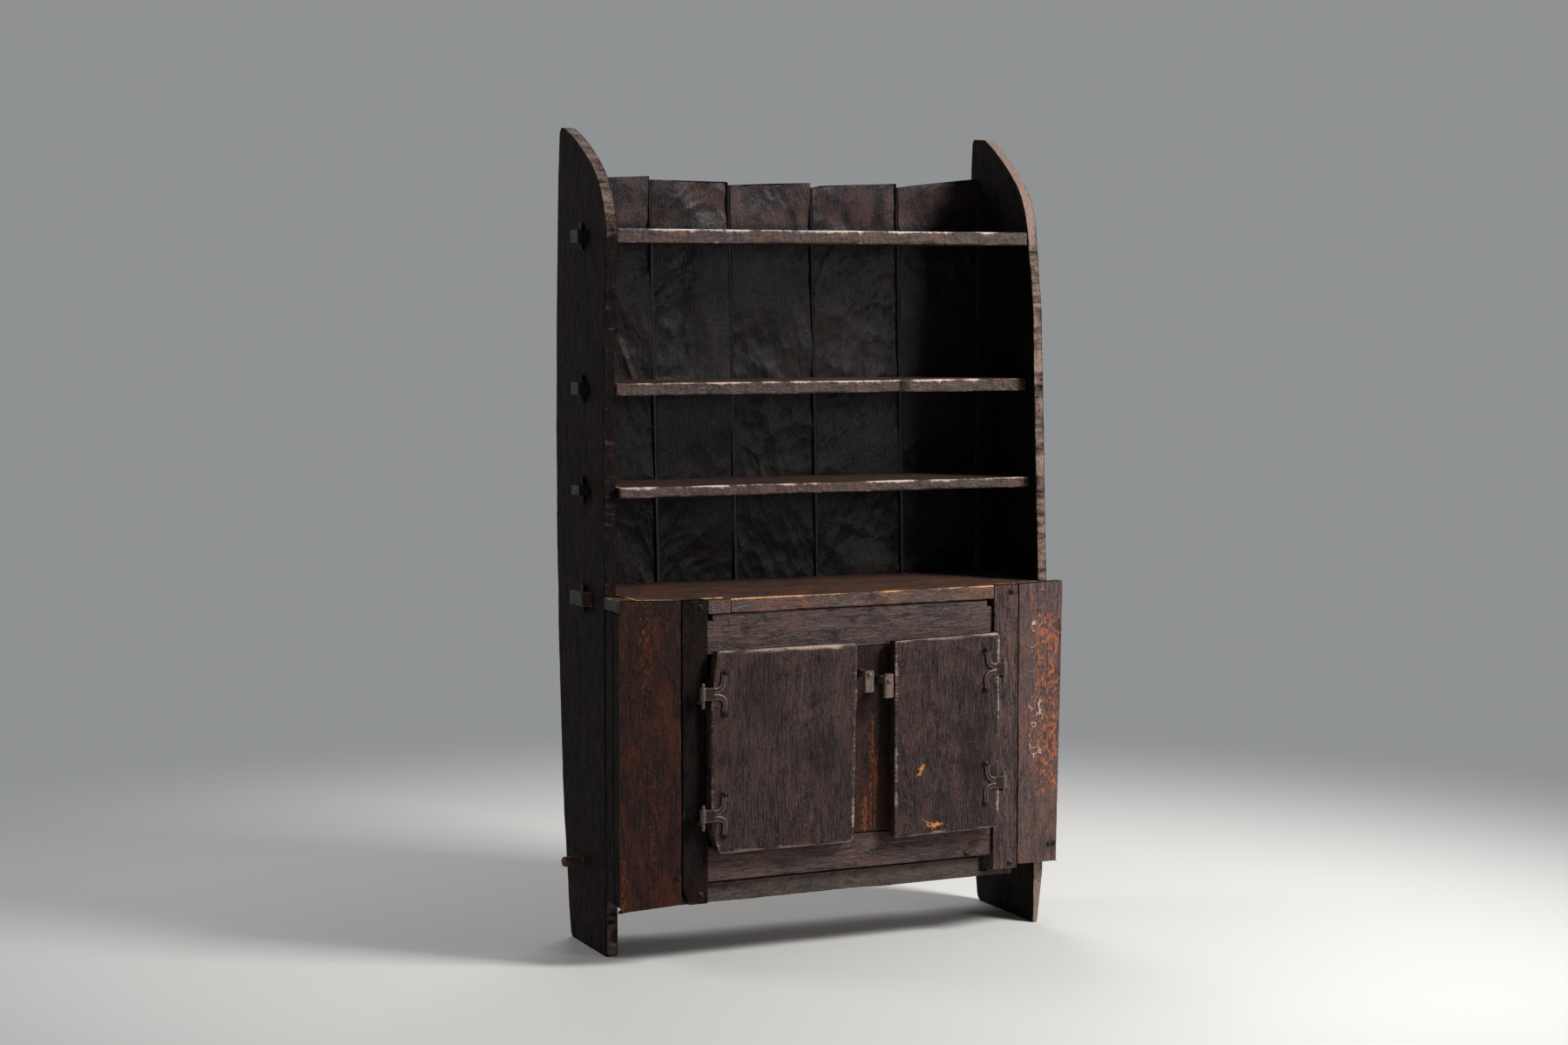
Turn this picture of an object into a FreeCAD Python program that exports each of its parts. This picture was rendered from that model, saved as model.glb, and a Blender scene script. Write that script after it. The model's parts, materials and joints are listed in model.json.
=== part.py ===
# Rustic open-shelf dresser: hewn side boards with curved tops, three open shelves held by wedged
# tenons, and a cupboard below whose front comes forward as a three-sided bay with two overlay doors.
# Millimetres, +X right, +Y to the back, +Z up. The origin is the middle of the footprint, on the floor.
import FreeCAD, Part
import os
import Sketcher

SIZES = {
    # side boards
    "side_span": 1080,
    "side_left_thick": 30,
    "side_right_thick": 26,
    "side_height": 1862,
    "right_drop": 6,
    "side_depth": 340,
    "front_line": -99.6,
    "left_set": 33,
    "left_swell": 20,
    "right_foot_set": -13,
    "right_counter_set": -26,
    "foot_taper": 12,
    "foot_taper_height": 120,
    # shelves, counter and floor board
    "shelf_top_thick": 32,
    "shelf_top_set": 26,
    "shelf_middle_thick": 30,
    "shelf_middle_set": 31,
    "shelf_lower_thick": 25,
    "shelf_lower_set": 11,
    "counter_height": 815,
    "counter_thick": 33,
    "counter_ear": 4,
    "floor_height": 208,
    "floor_thick": 28,
    # tenons, their wedges and the floor board's pegs
    "tenon_set": 160,
    "tenon_width": 55,
    "counter_tenon_width": 85,
    "tenon_out": 24,
    "joint_gap": 0.2,
    "wedge_thick": 9,
    "wedge_slope": 2,
    "wedge_width": 16,
    "wedge_length": 62,
    "peg_set": 186,
    "peg_diameter": 26,
    "peg_out": 50,
    # back planks
    "plank_thick": 24,
    "plank_seam": 4,
    "plank_drop": 30,
    "seam_lean": 30,
    # bay front
    "bay_shift": 6,
    "bay_reach": 111.5,
    "bay_turn": 3.15,
    "front_thick": 25,
    "return_depth": 72.4,
    "corner_left_overhang": 12.8,
    "corner_right_overhang": 35,
    "corner_right_narrowing": 16,
    "corner_left_drop": 56,
    "corner_left_slope": 18,
    "corner_right_drop": 30,
    "corner_right_slope": 10,
    "post_left_width": 64,
    "post_right_width": 66,
    "post_left_drop": 40,
    "post_right_drop": 30,
    "post_break_width": 15,
    "post_break_height": 36,
    "patch_width": 57,
    "patch_depth": 40,
    "patch_worn": 2,
    "strip_thick": 22,
    "strip_drop": 52,
    # rails, muntin and apron
    "rail_set": 8,
    "rail_thick": 25,
    "rail_top_width": 91,
    "rail_notch": 14,
    "rail_bottom_rise": 5,
    "rail_bottom_lip": 58,
    "muntin_shift": 44,
    "muntin_width": 130,
    "apron_thick": 22,
    "apron_left_drop": 47,
    "apron_right_drop": 48,
    "apron_notch_width": 24,
    "apron_notch_height": 34,
    # doors
    "door_thick": 27,
    "door_gap": 1,
    "door_lap_foot": 14,
    "door_lap_head": 11,
    "door_left_lap_muntin": 17.25,
    "door_left_lap_post": 8.5,
    "door_left_narrowing": 11,
    "door_cut_width": 20,
    "door_cut_height": 62,
    "door_top_cut_width": 15,
    "door_top_cut_height": 120,
    "door_right_lap_muntin": 23,
    "door_right_lap_post": 1.5,
    "door_right_slope": 6,
    "door_round": 5,
    # forged hinges and their pintles
    "strap_thick": 4,
    "knuckle_height": 30,
    "pin_diameter": 8,
    "pin_clear": 0.05,
    "pin_nub": 9,
    "pin_rest": 0.3,
    "spike_diameter": 9,
    "spike_out": 6,
    "left_pin_gap": 16,
    "right_pin_gap": 11.5,
    "arm_root": 33,
    "arm_width": 13,
    "arm_turn": 11,
    "arm_rise": 46,
    # turn buttons and the nails they turn on
    "latch_width": 26,
    "latch_thick": 14,
    "latch_gap": 1,
    "latch_boss": 18,
    "latch_rest": 0.3,
    "latch_left_drop": 70,
    "latch_left_arm": 41,
    "latch_left_heel": 10,
    "latch_right_drop": 87,
    "latch_right_arm": 39,
    "latch_right_heel": 17,
    "pivot_diameter": 5,
    "pivot_head": 12,
    "pivot_head_high": 3,
    # forged nails
    "nail_head": 13,
    "nail_crown": 4,
    "nail_head_high": 4,
    "nail_shank": 6,
    "nail_tip": 2,
    "nail_length": 40,
    "hinge_nail_length": 18,
}

# Shares that tie pieces together: of the side boards' depth, of the height above the counter, of the span
# over the side boards, of a door's height and of the muntin's width to the right of its middle.
CAVITY_SHARE = 0.853
SHELF_RISE_SHARES = (("top", 0.7765), ("middle", 0.4508), ("lower", 0.2302))
BAY_WIDTH_SHARE = 0.7917
HINGE_SHARES = (
    ("left_upper", 0.7956),
    ("left_lower", 0.1956),
    ("right_upper", 0.829),
    ("right_lower", 0.2444),
)
LATCH_SHARES = (("left", -0.223), ("right", 0.1615))

# Sizes that follow from the others, in the sheet's own formulas. Both corner boards lean back from the
# bay's knees just enough for their back faces to pass a seat in front of the side boards.
DERIVED = {
    "cavity_depth": f"{CAVITY_SHARE} * side_depth",
    "floor_under": "floor_height - floor_thick",
    "counter_under": "counter_height - counter_thick",
    "plank_foot": "floor_under - plank_drop",
    "strip_foot": "floor_under - strip_drop",
    "bay_width": f"{BAY_WIDTH_SHARE} * side_span",
    "knee_left_x": "bay_shift - bay_width / 2 * cos(bay_turn)",
    "knee_left_y": "front_line - bay_reach - bay_width / 2 * sin(bay_turn)",
    "knee_right_x": "bay_shift + bay_width / 2 * cos(bay_turn)",
    "knee_right_y": "front_line - bay_reach + bay_width / 2 * sin(bay_turn)",
    "seat_left_across": "knee_left_x + side_span / 2",
    "seat_left_back": "front_line - return_depth - knee_left_y",
    "seat_right_across": "side_span / 2 - knee_right_x",
    "seat_right_back": "front_line + right_counter_set - joint_gap - knee_right_y",
    "rail_top_foot": "counter_under - rail_top_width",
    "rail_bottom_foot": "floor_under + rail_bottom_rise",
    "rail_bottom_head": "floor_height + rail_bottom_lip",
    "door_foot": "rail_bottom_head - door_lap_foot",
    "door_head": "rail_top_foot + door_lap_head",
    "muntin_left": "muntin_shift - muntin_width / 2",
    "muntin_right": "muntin_shift + muntin_width / 2",
    "post_left_in": "post_left_width - bay_width / 2",
    "post_right_in": "bay_width / 2 - post_right_width",
    "door_left_hinge": "post_left_in - door_left_lap_post",
    "door_left_free": "muntin_left + door_left_lap_muntin",
    "door_right_hinge": "post_right_in + door_right_lap_post",
    "door_right_free": "muntin_right - door_right_lap_muntin",
}
for level, share in SHELF_RISE_SHARES:
    DERIVED[f"shelf_{level}_height"] = f"counter_height + {share} * (side_height - counter_height)"
for name, share in HINGE_SHARES:
    DERIVED[f"hinge_{name}_height"] = f"door_foot + {share} * (door_head - door_foot)"
for side_name, share in LATCH_SHARES:
    DERIVED[f"latch_{side_name}_shift"] = f"muntin_shift + {share} * muntin_width"
    DERIVED[f"latch_{side_name}_height"] = f"door_head - latch_{side_name}_drop"
for side_name, turn in (("left", "+ bay_turn * 1 deg"), ("right", "- bay_turn * 1 deg")):
    across = f"seat_{side_name}_across"
    back = f"seat_{side_name}_back"
    spread = f"asin(front_thick / sqrt({across} ^ 2 + {back} ^ 2))"
    DERIVED[f"lean_{side_name}"] = f"atan({back} / {across}) - {spread}"
    DERIVED[f"cant_{side_name}"] = f"lean_{side_name} {turn}"
    reach = f"{across} + corner_{side_name}_overhang"
    DERIVED[f"corner_{side_name}_width"] = f"({reach}) / cos(lean_{side_name})"
    for piece in ("corner", "post", "apron"):
        DERIVED[f"{piece}_{side_name}_foot"] = f"floor_under - {piece}_{side_name}_drop"

doc = FreeCAD.newDocument("dresser")
dims = doc.addObject("Spreadsheet::Sheet", "dims")
cells = {alias: str(size) for alias, size in SIZES.items()}
cells.update({alias: f"={formula}" for alias, formula in DERIVED.items()})
for row, alias in enumerate(cells, start=1):
    dims.set(f"A{row}", alias)
    dims.setAlias(f"B{row}", alias)
for row, content in enumerate(cells.values(), start=1):
    dims.set(f"B{row}", content)
doc.recompute()

# Points closer than this are the same corner.
TOUCH = 0.01
# Rise of a quarter circle over its chord, as a share of its radius.
QUARTER_RISE_SHARE = 0.29289322
UPRIGHT = FreeCAD.Vector(0, 0, 1)
SUB_PARTS = []


def value(formula):
    """The number that a formula of the sheet gives."""
    result = dims.evalExpression(str(formula))
    return float(getattr(result, "Value", result))


def new_body(label):
    """A sub-part of its own, empty so far."""
    body = doc.addObject("PartDesign::Body", label)
    body.Label = label
    SUB_PARTS.append(body)
    return body


def draw(body, name, plane, corners=(), bows=None, holes=(), offset=None):
    """A closed outline in one of the body's origin planes. Each corner is a pair of formulas. A bow is
    the rise of the arc that takes the place of the straight edge after a corner, to the right of the
    way round. Holes are circles, each with the formulas of its centre and radius."""
    bows = bows or {}
    sketch = body.newObject("Sketcher::SketchObject", name)
    support = next(p for p in body.Origin.OriginFeatures if p.Role == plane)
    sketch.AttachmentSupport = [(support, "")]
    sketch.MapMode = "FlatFace"
    if offset:
        sketch.setExpression("AttachmentOffset.Base.z", offset)
    points = [FreeCAD.Vector(value(x), value(y), 0) for x, y in corners]
    count = len(points)
    for i, start in enumerate(points):
        end = points[(i + 1) % count]
        if i in bows:
            way = end - start
            right = FreeCAD.Vector(way.y, -way.x, 0).normalize()
            crown = (start + end) / 2 + right * value(bows[i])
            sketch.addGeometry(Part.Arc(start, crown, end))
        else:
            sketch.addGeometry(Part.LineSegment(start, end))
    heads = []
    for i, start in enumerate(points):
        heads.append(1 if sketch.getPoint(i, 1).distanceToPoint(start) < TOUCH else 2)
    for i, (x, y) in enumerate(corners):
        following = (i + 1) % count
        tail = 3 - heads[i]
        sketch.addConstraint(Sketcher.Constraint("Coincident", i, tail, following, heads[following]))
        bind(sketch, Sketcher.Constraint("DistanceX", -1, 1, i, heads[i], points[i].x), x)
        bind(sketch, Sketcher.Constraint("DistanceY", -1, 1, i, heads[i], points[i].y), y)
        if i in bows:
            across = f"(({corners[following][0]}) - ({x}))"
            along = f"(({corners[following][1]}) - ({y}))"
            rise = f"abs({bows[i]})"
            radius = f"({across} ^ 2 + {along} ^ 2) / (8 * {rise}) + {rise} / 2"
            bind(sketch, Sketcher.Constraint("Radius", i, value(radius)), radius)
    for x, y, radius in holes:
        add_circle(sketch, x, y, radius)
    return sketch


def add_circle(sketch, x, y, radius):
    """A circle in a sketch, its centre and radius given by formulas."""
    centre = FreeCAD.Vector(value(x), value(y), 0)
    circle = sketch.addGeometry(Part.Circle(centre, FreeCAD.Vector(0, 0, 1), value(radius)))
    bind(sketch, Sketcher.Constraint("DistanceX", -1, 1, circle, 3, centre.x), x)
    bind(sketch, Sketcher.Constraint("DistanceY", -1, 1, circle, 3, centre.y), y)
    bind(sketch, Sketcher.Constraint("Radius", circle, value(radius)), radius)


def bind(sketch, constraint, formula):
    """Adds a dimension to a sketch and ties it to a formula of the sheet."""
    index = sketch.addConstraint(constraint)
    sketch.setExpression(f"Constraints[{index}]", str(formula))


def pad(body, sketch, length, backwards=False):
    """Gives an outline its thickness."""
    feature = body.newObject("PartDesign::Pad", sketch.Name + "_pad")
    feature.Profile = sketch
    feature.setExpression("Length", length)
    feature.Reversed = backwards
    doc.recompute()
    return feature


def cut_through(body, sketch, both_ways=False):
    """Cuts an outline right through the board that stands on its plane, or lies across it, and proves
    that wood came away."""
    before = body.Shape.Volume
    feature = body.newObject("PartDesign::Pocket", sketch.Name + "_cut")
    feature.Profile = sketch
    feature.Type = "ThroughAll"
    feature.Reversed = not both_ways
    feature.Midplane = both_ways
    doc.recompute()
    if body.Shape.Volume >= before:
        raise ValueError(f"{sketch.Name} cut nothing from {body.Label}")


def set_at(body, x, y, z):
    """Ties a body's place to formulas."""
    body.setExpression("Placement.Base.x", str(x))
    body.setExpression("Placement.Base.y", str(y))
    body.setExpression("Placement.Base.z", str(z))
    doc.recompute()


def box_corners(x0, x1, y0, y1):
    """The four corners of a rectangle, counter-clockwise."""
    return [(x0, y0), (x1, y0), (x1, y1), (x0, y1)]


# Faces that several boards share.
left_out = "(-dims.side_span / 2)"
left_in = "(-dims.side_span / 2 + dims.side_left_thick)"
right_out = "(dims.side_span / 2)"
right_in = "(dims.side_span / 2 - dims.side_right_thick)"
back_line = "(dims.front_line + dims.cavity_depth)"
tenon_line = "(dims.front_line + dims.tenon_set)"
floor_middle = "(dims.floor_height - dims.floor_thick / 2)"

# The bay stands turned a little about a plumb line at the middle of its front.
bay_y = "(dims.front_line - dims.bay_reach)"
half_bay = "(dims.bay_width / 2)"
door_front = "(-dims.door_gap - dims.door_thick)"


def bay_point(u, v):
    """Formulas of a point given along the bay (u, to the right) and behind its front (v)."""
    x = f"(dims.bay_shift + ({u}) * cos(dims.bay_turn) - ({v}) * sin(dims.bay_turn))"
    y = f"({bay_y} + ({u}) * sin(dims.bay_turn) + ({v}) * cos(dims.bay_turn))"
    return x, y


def set_in_bay(body, u, v, z):
    """Places a body in the bay's own turned frame."""
    body.Placement = FreeCAD.Placement(FreeCAD.Vector(), FreeCAD.Rotation(UPRIGHT, value("dims.bay_turn")))
    body.setExpression("Placement.Rotation.Angle", "dims.bay_turn")
    set_at(body, *bay_point(u, v), z)


# Shelves: board label, its sizes in the sheet and the width of its tenons.
SHELVES = (
    ("shelf_top", "dims.shelf_top_height", "dims.shelf_top_thick", "dims.tenon_width"),
    ("shelf_middle", "dims.shelf_middle_height", "dims.shelf_middle_thick", "dims.tenon_width"),
    ("shelf_lower", "dims.shelf_lower_height", "dims.shelf_lower_thick", "dims.tenon_width"),
    ("counter", "dims.counter_height", "dims.counter_thick", "dims.counter_tenon_width"),
)

# Side boards: outline in depth and height. The back swells, the heel is rounded and the top is a
# quarter sweep. Shares are of side_depth and side_height.
SIDE_BACK_SHARES = ((0.77, 0.0), (0.835, 0.012), (1.006, 0.274), (0.971, 0.994))
HEEL_RISE_SHARE = 0.018
LOW_BACK_RISE_SHARE = 0.024
HIGH_BACK_RISE_SHARE = 0.085
LEFT_TOP_SHARES = ((0.935, 1.0), (0.882, 1.0), (0.324, 0.952))
LEFT_SWELL_SHARE = 0.873
LEFT_STRAIGHT_SHARE = 0.714
RIGHT_TOP_SHARES = ((0.95, 1.0), (0.76, 0.998), (0.277, 0.938), (0.109, 0.884), (0.012, 0.777))
LEFT_TOP_RISE_SHARES = (0.021, 0.053)
RIGHT_TOP_RISE_SHARES = (0.022, 0.027)


def in_depth(share):
    """A share of a side board's depth."""
    return f"{share} * dims.side_depth"


def side_corner(depth_share, height_share, height):
    """A corner of a side board's outline."""
    return f"dims.front_line + {in_depth(depth_share)}", f"{height_share} * {height}"


left_height = "dims.side_height"
left_corners = [("dims.front_line + dims.left_set", "0")]
left_corners += [side_corner(d, h, left_height) for d, h in SIDE_BACK_SHARES + LEFT_TOP_SHARES]
left_corners += [
    ("dims.front_line + dims.left_set - dims.left_swell", f"{LEFT_SWELL_SHARE} * {left_height}"),
    ("dims.front_line + dims.left_set", f"{LEFT_STRAIGHT_SHARE} * {left_height}"),
]
back_bows = {
    1: in_depth(HEEL_RISE_SHARE),
    2: in_depth(LOW_BACK_RISE_SHARE),
    3: in_depth(HIGH_BACK_RISE_SHARE),
}
left_bows = {6: in_depth(LEFT_TOP_RISE_SHARES[0]), 7: in_depth(LEFT_TOP_RISE_SHARES[1])}

right_height = "(dims.side_height - dims.right_drop)"
right_corners = [("dims.front_line + dims.right_foot_set", "0")]
right_corners += [side_corner(d, h, right_height) for d, h in SIDE_BACK_SHARES + RIGHT_TOP_SHARES]
right_corners += [("dims.front_line + dims.right_counter_set", "dims.counter_height")]
right_bows = {6: in_depth(RIGHT_TOP_RISE_SHARES[0]), 7: in_depth(RIGHT_TOP_RISE_SHARES[1])}

for label, corners, bows, thick, place in (
    ("side_left", left_corners, left_bows, "dims.side_left_thick", left_out),
    ("side_right", right_corners, right_bows, "dims.side_right_thick", right_in),
):
    side = new_body(label)
    pad(side, draw(side, label + "_outline", "YZ_Plane", corners, {**back_bows, **bows}), thick)
    for shelf, head, shelf_thick, tenon in SHELVES:
        reach = f"({tenon} / 2 + dims.joint_gap)"
        mortise = box_corners(
            f"{tenon_line} - {reach}",
            f"{tenon_line} + {reach}",
            f"{head} - {shelf_thick} - dims.joint_gap",
            f"{head} + dims.joint_gap",
        )
        cut_through(side, draw(side, f"{label}_{shelf}_mortise", "YZ_Plane", mortise))
    peg_bore = ("dims.front_line + dims.peg_set", floor_middle, "dims.peg_diameter / 2 + dims.joint_gap")
    cut_through(side, draw(side, label + "_peg_hole", "YZ_Plane", holes=[peg_bore]))
    set_at(side, place, "0", "0")
    if label == "side_right":
        foot_taper = [
            ("dims.side_right_thick - dims.foot_taper", "0"),
            ("dims.side_right_thick", "0"),
            ("dims.side_right_thick", "dims.foot_taper_height"),
        ]
        cut_through(side, draw(side, "foot_slope", "XZ_Plane", foot_taper), True)

# Open shelves: boards between the side boards, with a through tenon at each end that a wedge locks.
tenon_left_tip = f"({left_out} - dims.tenon_out)"
tenon_right_tip = f"({right_out} + dims.tenon_out)"


def right_tenon(width):
    """Corners of the tenon at the right end, from front to back."""
    near = f"{tenon_line} - {width} / 2"
    far = f"{tenon_line} + {width} / 2"
    return [(right_in, near), (tenon_right_tip, near), (tenon_right_tip, far), (right_in, far)]


def left_tenon(width):
    """Corners of the tenon at the left end, from back to front."""
    near = f"{tenon_line} - {width} / 2"
    far = f"{tenon_line} + {width} / 2"
    return [(left_in, far), (tenon_left_tip, far), (tenon_left_tip, near), (left_in, near)]


def cut_wedge_slots(board):
    """A slot for the wedge in each tenon, hard against the side board's outer face."""
    near = f"{tenon_line} - dims.wedge_width / 2"
    far = f"{tenon_line} + dims.wedge_width / 2"
    slots = {
        "left": (f"{left_out} - dims.wedge_thick", left_out),
        "right": (right_out, f"{right_out} + dims.wedge_thick"),
    }
    for side_name, (low, high) in slots.items():
        slot = box_corners(low, high, near, far)
        cut_through(board, draw(board, f"{board.Name}_{side_name}_slot", "XY_Plane", slot))


for label, head, thick, tenon in SHELVES[:3]:
    shelf = new_body(label)
    front = f"dims.front_line + dims.{label}_set"
    corners = [(left_in, front), (right_in, front)]
    corners += right_tenon(tenon) + [(right_in, back_line), (left_in, back_line)] + left_tenon(tenon)
    pad(shelf, draw(shelf, label + "_outline", "XY_Plane", corners), thick)
    cut_wedge_slots(shelf)
    set_at(shelf, "0", "0", f"{head} - {thick}")

# Backs of the canted corner boards, which the counter and the floor board run up to.
knee_left_back = bay_point(f"-{half_bay}", "dims.front_thick / cos(dims.cant_left)")
knee_right_back = bay_point(half_bay, "dims.front_thick / cos(dims.cant_right)")
left_slope = "tan(dims.lean_left)"
right_slope = "tan(dims.lean_right)"


def left_back_at(x):
    """Depth of the left corner board's back face at a given place across."""
    return f"({knee_left_back[1]} + ({knee_left_back[0]} - ({x})) * {left_slope})"


def right_back_at(x):
    """Depth of the right corner board's back face at a given place across."""
    return f"({knee_right_back[1]} + (({x}) - {knee_right_back[0]}) * {right_slope})"


# Counter: its ear passes in front of the left side board, and its tongue fills the front between the posts.
ear_left = f"({left_out} - dims.counter_ear)"
ear_back = "(dims.front_line + dims.left_set - dims.joint_gap)"
counter_corners = [(ear_left, left_back_at(ear_left)), knee_left_back]
counter_corners += [
    bay_point("dims.post_left_in", "dims.front_thick"),
    bay_point("dims.post_left_in", "dims.patch_depth"),
    bay_point("dims.post_left_in + dims.patch_width", "dims.patch_depth"),
    bay_point("dims.post_left_in + dims.patch_width", "0"),
    bay_point("dims.post_right_in", "0"),
    bay_point("dims.post_right_in", "dims.front_thick"),
    knee_right_back,
    (right_in, right_back_at(right_in)),
]
counter_corners += right_tenon("dims.counter_tenon_width") + [(right_in, back_line), (left_in, back_line)]
counter_corners += left_tenon("dims.counter_tenon_width") + [(left_in, ear_back), (ear_left, ear_back)]
counter = new_body("counter")
pad(counter, draw(counter, "counter_outline", "XY_Plane", counter_corners), "dims.counter_thick")
cut_wedge_slots(counter)
set_at(counter, "0", "0", "dims.counter_under")

# Patch let into the counter's front edge beside the left post.
patch = new_body("counter_patch")
patch_corners = box_corners("0", "dims.patch_width", "0", "dims.patch_depth")
pad(patch, draw(patch, "patch_outline", "XY_Plane", patch_corners), "dims.counter_thick - dims.patch_worn")
set_in_bay(patch, "dims.post_left_in", "0", "dims.counter_under")

# Floor board: the same plan inside the boards of the front, with a round tenon through each side board.
strip_in = f"({left_out} + dims.strip_thick)"
floor_corners = [(strip_in, left_back_at(strip_in)), knee_left_back]
floor_corners += [
    bay_point("dims.post_left_in", "dims.front_thick"),
    bay_point("dims.post_left_in", "dims.rail_set + dims.rail_thick"),
    bay_point("dims.post_right_in", "dims.rail_set + dims.rail_thick"),
    bay_point("dims.post_right_in", "dims.front_thick"),
    knee_right_back,
    (right_in, right_back_at(right_in)),
    (right_in, back_line),
    (left_in, back_line),
    (left_in, ear_back),
    (strip_in, ear_back),
]
floor_board = new_body("floor_board")
pad(floor_board, draw(floor_board, "floor_outline", "XY_Plane", floor_corners), "dims.floor_thick")
peg_round = ("dims.front_line + dims.peg_set", "dims.floor_thick / 2", "dims.peg_diameter / 2")
for side_name, backwards in (("right", False), ("left", True)):
    peg = draw(floor_board, side_name + "_peg", "YZ_Plane", holes=[peg_round])
    pad(floor_board, peg, "dims.side_span / 2 + dims.peg_out", backwards)
set_at(floor_board, "0", "0", "dims.floor_under")

# Back planks: upright boards between the side boards, nailed to the back edges of the shelves. Seams are
# shares of the clear width at the top, and lean to the right further down. Tops are shares of the
# side boards' height.
SEAM_SHARES = (0.0, 0.175, 0.366, 0.570, 0.789, 1.0)
PLANK_TOP_SHARES = ((0.938, 0.9425), (0.938, 0.9366), (0.9334, 0.937), (0.933, 0.9377), (0.9334, 0.9458))
clear_width = f"({right_in} - {left_in})"


def seam(number, lean):
    """Middle of a seam between planks: the two outer ones run along the side boards."""
    if SEAM_SHARES[number] in (0.0, 1.0):
        lean = "0"
    return f"({left_in} + {SEAM_SHARES[number]} * {clear_width} + {lean})"


for number, (top_left, top_right) in enumerate(PLANK_TOP_SHARES):
    plank = new_body(f"back_plank_{number + 1}")
    gap = "dims.plank_seam / 2"
    corners = [
        (f"{seam(number, 'dims.seam_lean')} + {gap}", "dims.plank_foot"),
        (f"{seam(number + 1, 'dims.seam_lean')} - {gap}", "dims.plank_foot"),
        (f"{seam(number + 1, '0')} - {gap}", f"{top_right} * dims.side_height"),
        (f"{seam(number, '0')} + {gap}", f"{top_left} * dims.side_height"),
    ]
    pad(plank, draw(plank, f"plank_{number + 1}_outline", "XZ_Plane", corners), "dims.plank_thick")
    set_at(plank, "0", f"{back_line} + dims.plank_thick", "0")

# Corner boards: canted back from the posts, mitred against them and sawn off on a slope at the foot. The
# right one narrows downwards.
for name, sign in (("left", -1), ("right", 1)):
    label = "corner_board_" + name
    corner = new_body(label)
    width = f"dims.corner_{name}_width"
    cant = f"dims.cant_{name}"
    foot = f"dims.corner_{name}_foot"
    end_u = f"({width} * cos({cant}))"
    end_v = f"({width} * sin({cant}))"
    corners = [
        ("0", "0"),
        (f"{sign} * {end_u}", end_v),
        (f"{sign} * ({end_u} - dims.front_thick * sin({cant}))", f"{end_v} + dims.front_thick * cos({cant})"),
        ("0", f"dims.front_thick / cos({cant})"),
    ]
    rise = f"(dims.counter_height - {foot})"
    pad(corner, draw(corner, label + "_plan", "XY_Plane", corners), rise)
    foot_slope = [("0", "0"), (f"{sign} * {width}", "0"), ("0", f"dims.corner_{name}_slope")]
    cut_through(corner, draw(corner, label + "_foot", "XZ_Plane", foot_slope), True)
    if name == "right":
        worn_foot = (f"{end_u} - dims.corner_right_narrowing", "0")
        worn_end = [worn_foot, (width, "0"), (width, rise), (end_u, rise)]
        cut_through(corner, draw(corner, label + "_end", "XZ_Plane", worn_end), True)
    set_in_bay(corner, f"{sign} * {half_bay}", "0", foot)

# Posts beside the doors, bored for the spikes of the pintles. The left one has lost its outer foot corner.
bore_radius = "(dims.pin_diameter / 2 + dims.pin_clear)"
knuckle_radius = f"({bore_radius} + dims.strap_thick)"
pin_v = f"({door_front} + {bore_radius})"
pin_left_u = "(dims.door_left_hinge - dims.left_pin_gap)"
pin_right_u = "(dims.door_right_hinge + dims.right_pin_gap)"
spike_drop = "(dims.knuckle_height / 2 + dims.pin_rest + dims.spike_diameter / 2)"
HINGES = (
    ("left_upper", 1, pin_left_u, "dims.hinge_left_upper_height"),
    ("left_lower", 1, pin_left_u, "dims.hinge_left_lower_height"),
    ("right_upper", -1, pin_right_u, "dims.hinge_right_upper_height"),
    ("right_lower", -1, pin_right_u, "dims.hinge_right_lower_height"),
)
left_post_corners = [
    (f"-{half_bay} + dims.post_break_width", "dims.post_left_foot"),
    ("dims.post_left_in", "dims.post_left_foot"),
    ("dims.post_left_in", "dims.counter_height"),
    (f"-{half_bay}", "dims.counter_height"),
    (f"-{half_bay}", "dims.post_left_foot + dims.post_break_height"),
]
right_post_corners = box_corners(
    "dims.post_right_in",
    half_bay,
    "dims.post_right_foot",
    "dims.counter_height",
)
for label, corners, hinges in (
    ("post_left", left_post_corners, HINGES[:2]),
    ("post_right", right_post_corners, HINGES[2:]),
):
    post = new_body(label)
    bores = [(u, f"{height} - {spike_drop}", "dims.spike_diameter / 2") for name, sign, u, height in hinges]
    pad(post, draw(post, label + "_outline", "XZ_Plane", corners, holes=bores), "dims.front_thick")
    set_in_bay(post, "0", "dims.front_thick", "0")

# Return strips: two uprights that close the bay's left side between the side board and the corner board.
strip_front = left_back_at(left_out)
strip_split = f"(({strip_front} + {ear_back}) / 2)"
strips = {
    "return_strip_front": [
        (left_out, strip_front),
        (strip_in, left_back_at(strip_in)),
        (strip_in, f"{strip_split} - dims.joint_gap"),
        (left_out, f"{strip_split} - dims.joint_gap"),
    ],
    "return_strip_back": box_corners(left_out, strip_in, f"{strip_split} + dims.joint_gap", ear_back),
}
for label, corners in strips.items():
    strip = new_body(label)
    pad(strip, draw(strip, label + "_plan", "XY_Plane", corners), "dims.counter_under - dims.strip_foot")
    set_at(strip, "0", "0", "dims.strip_foot")

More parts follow.
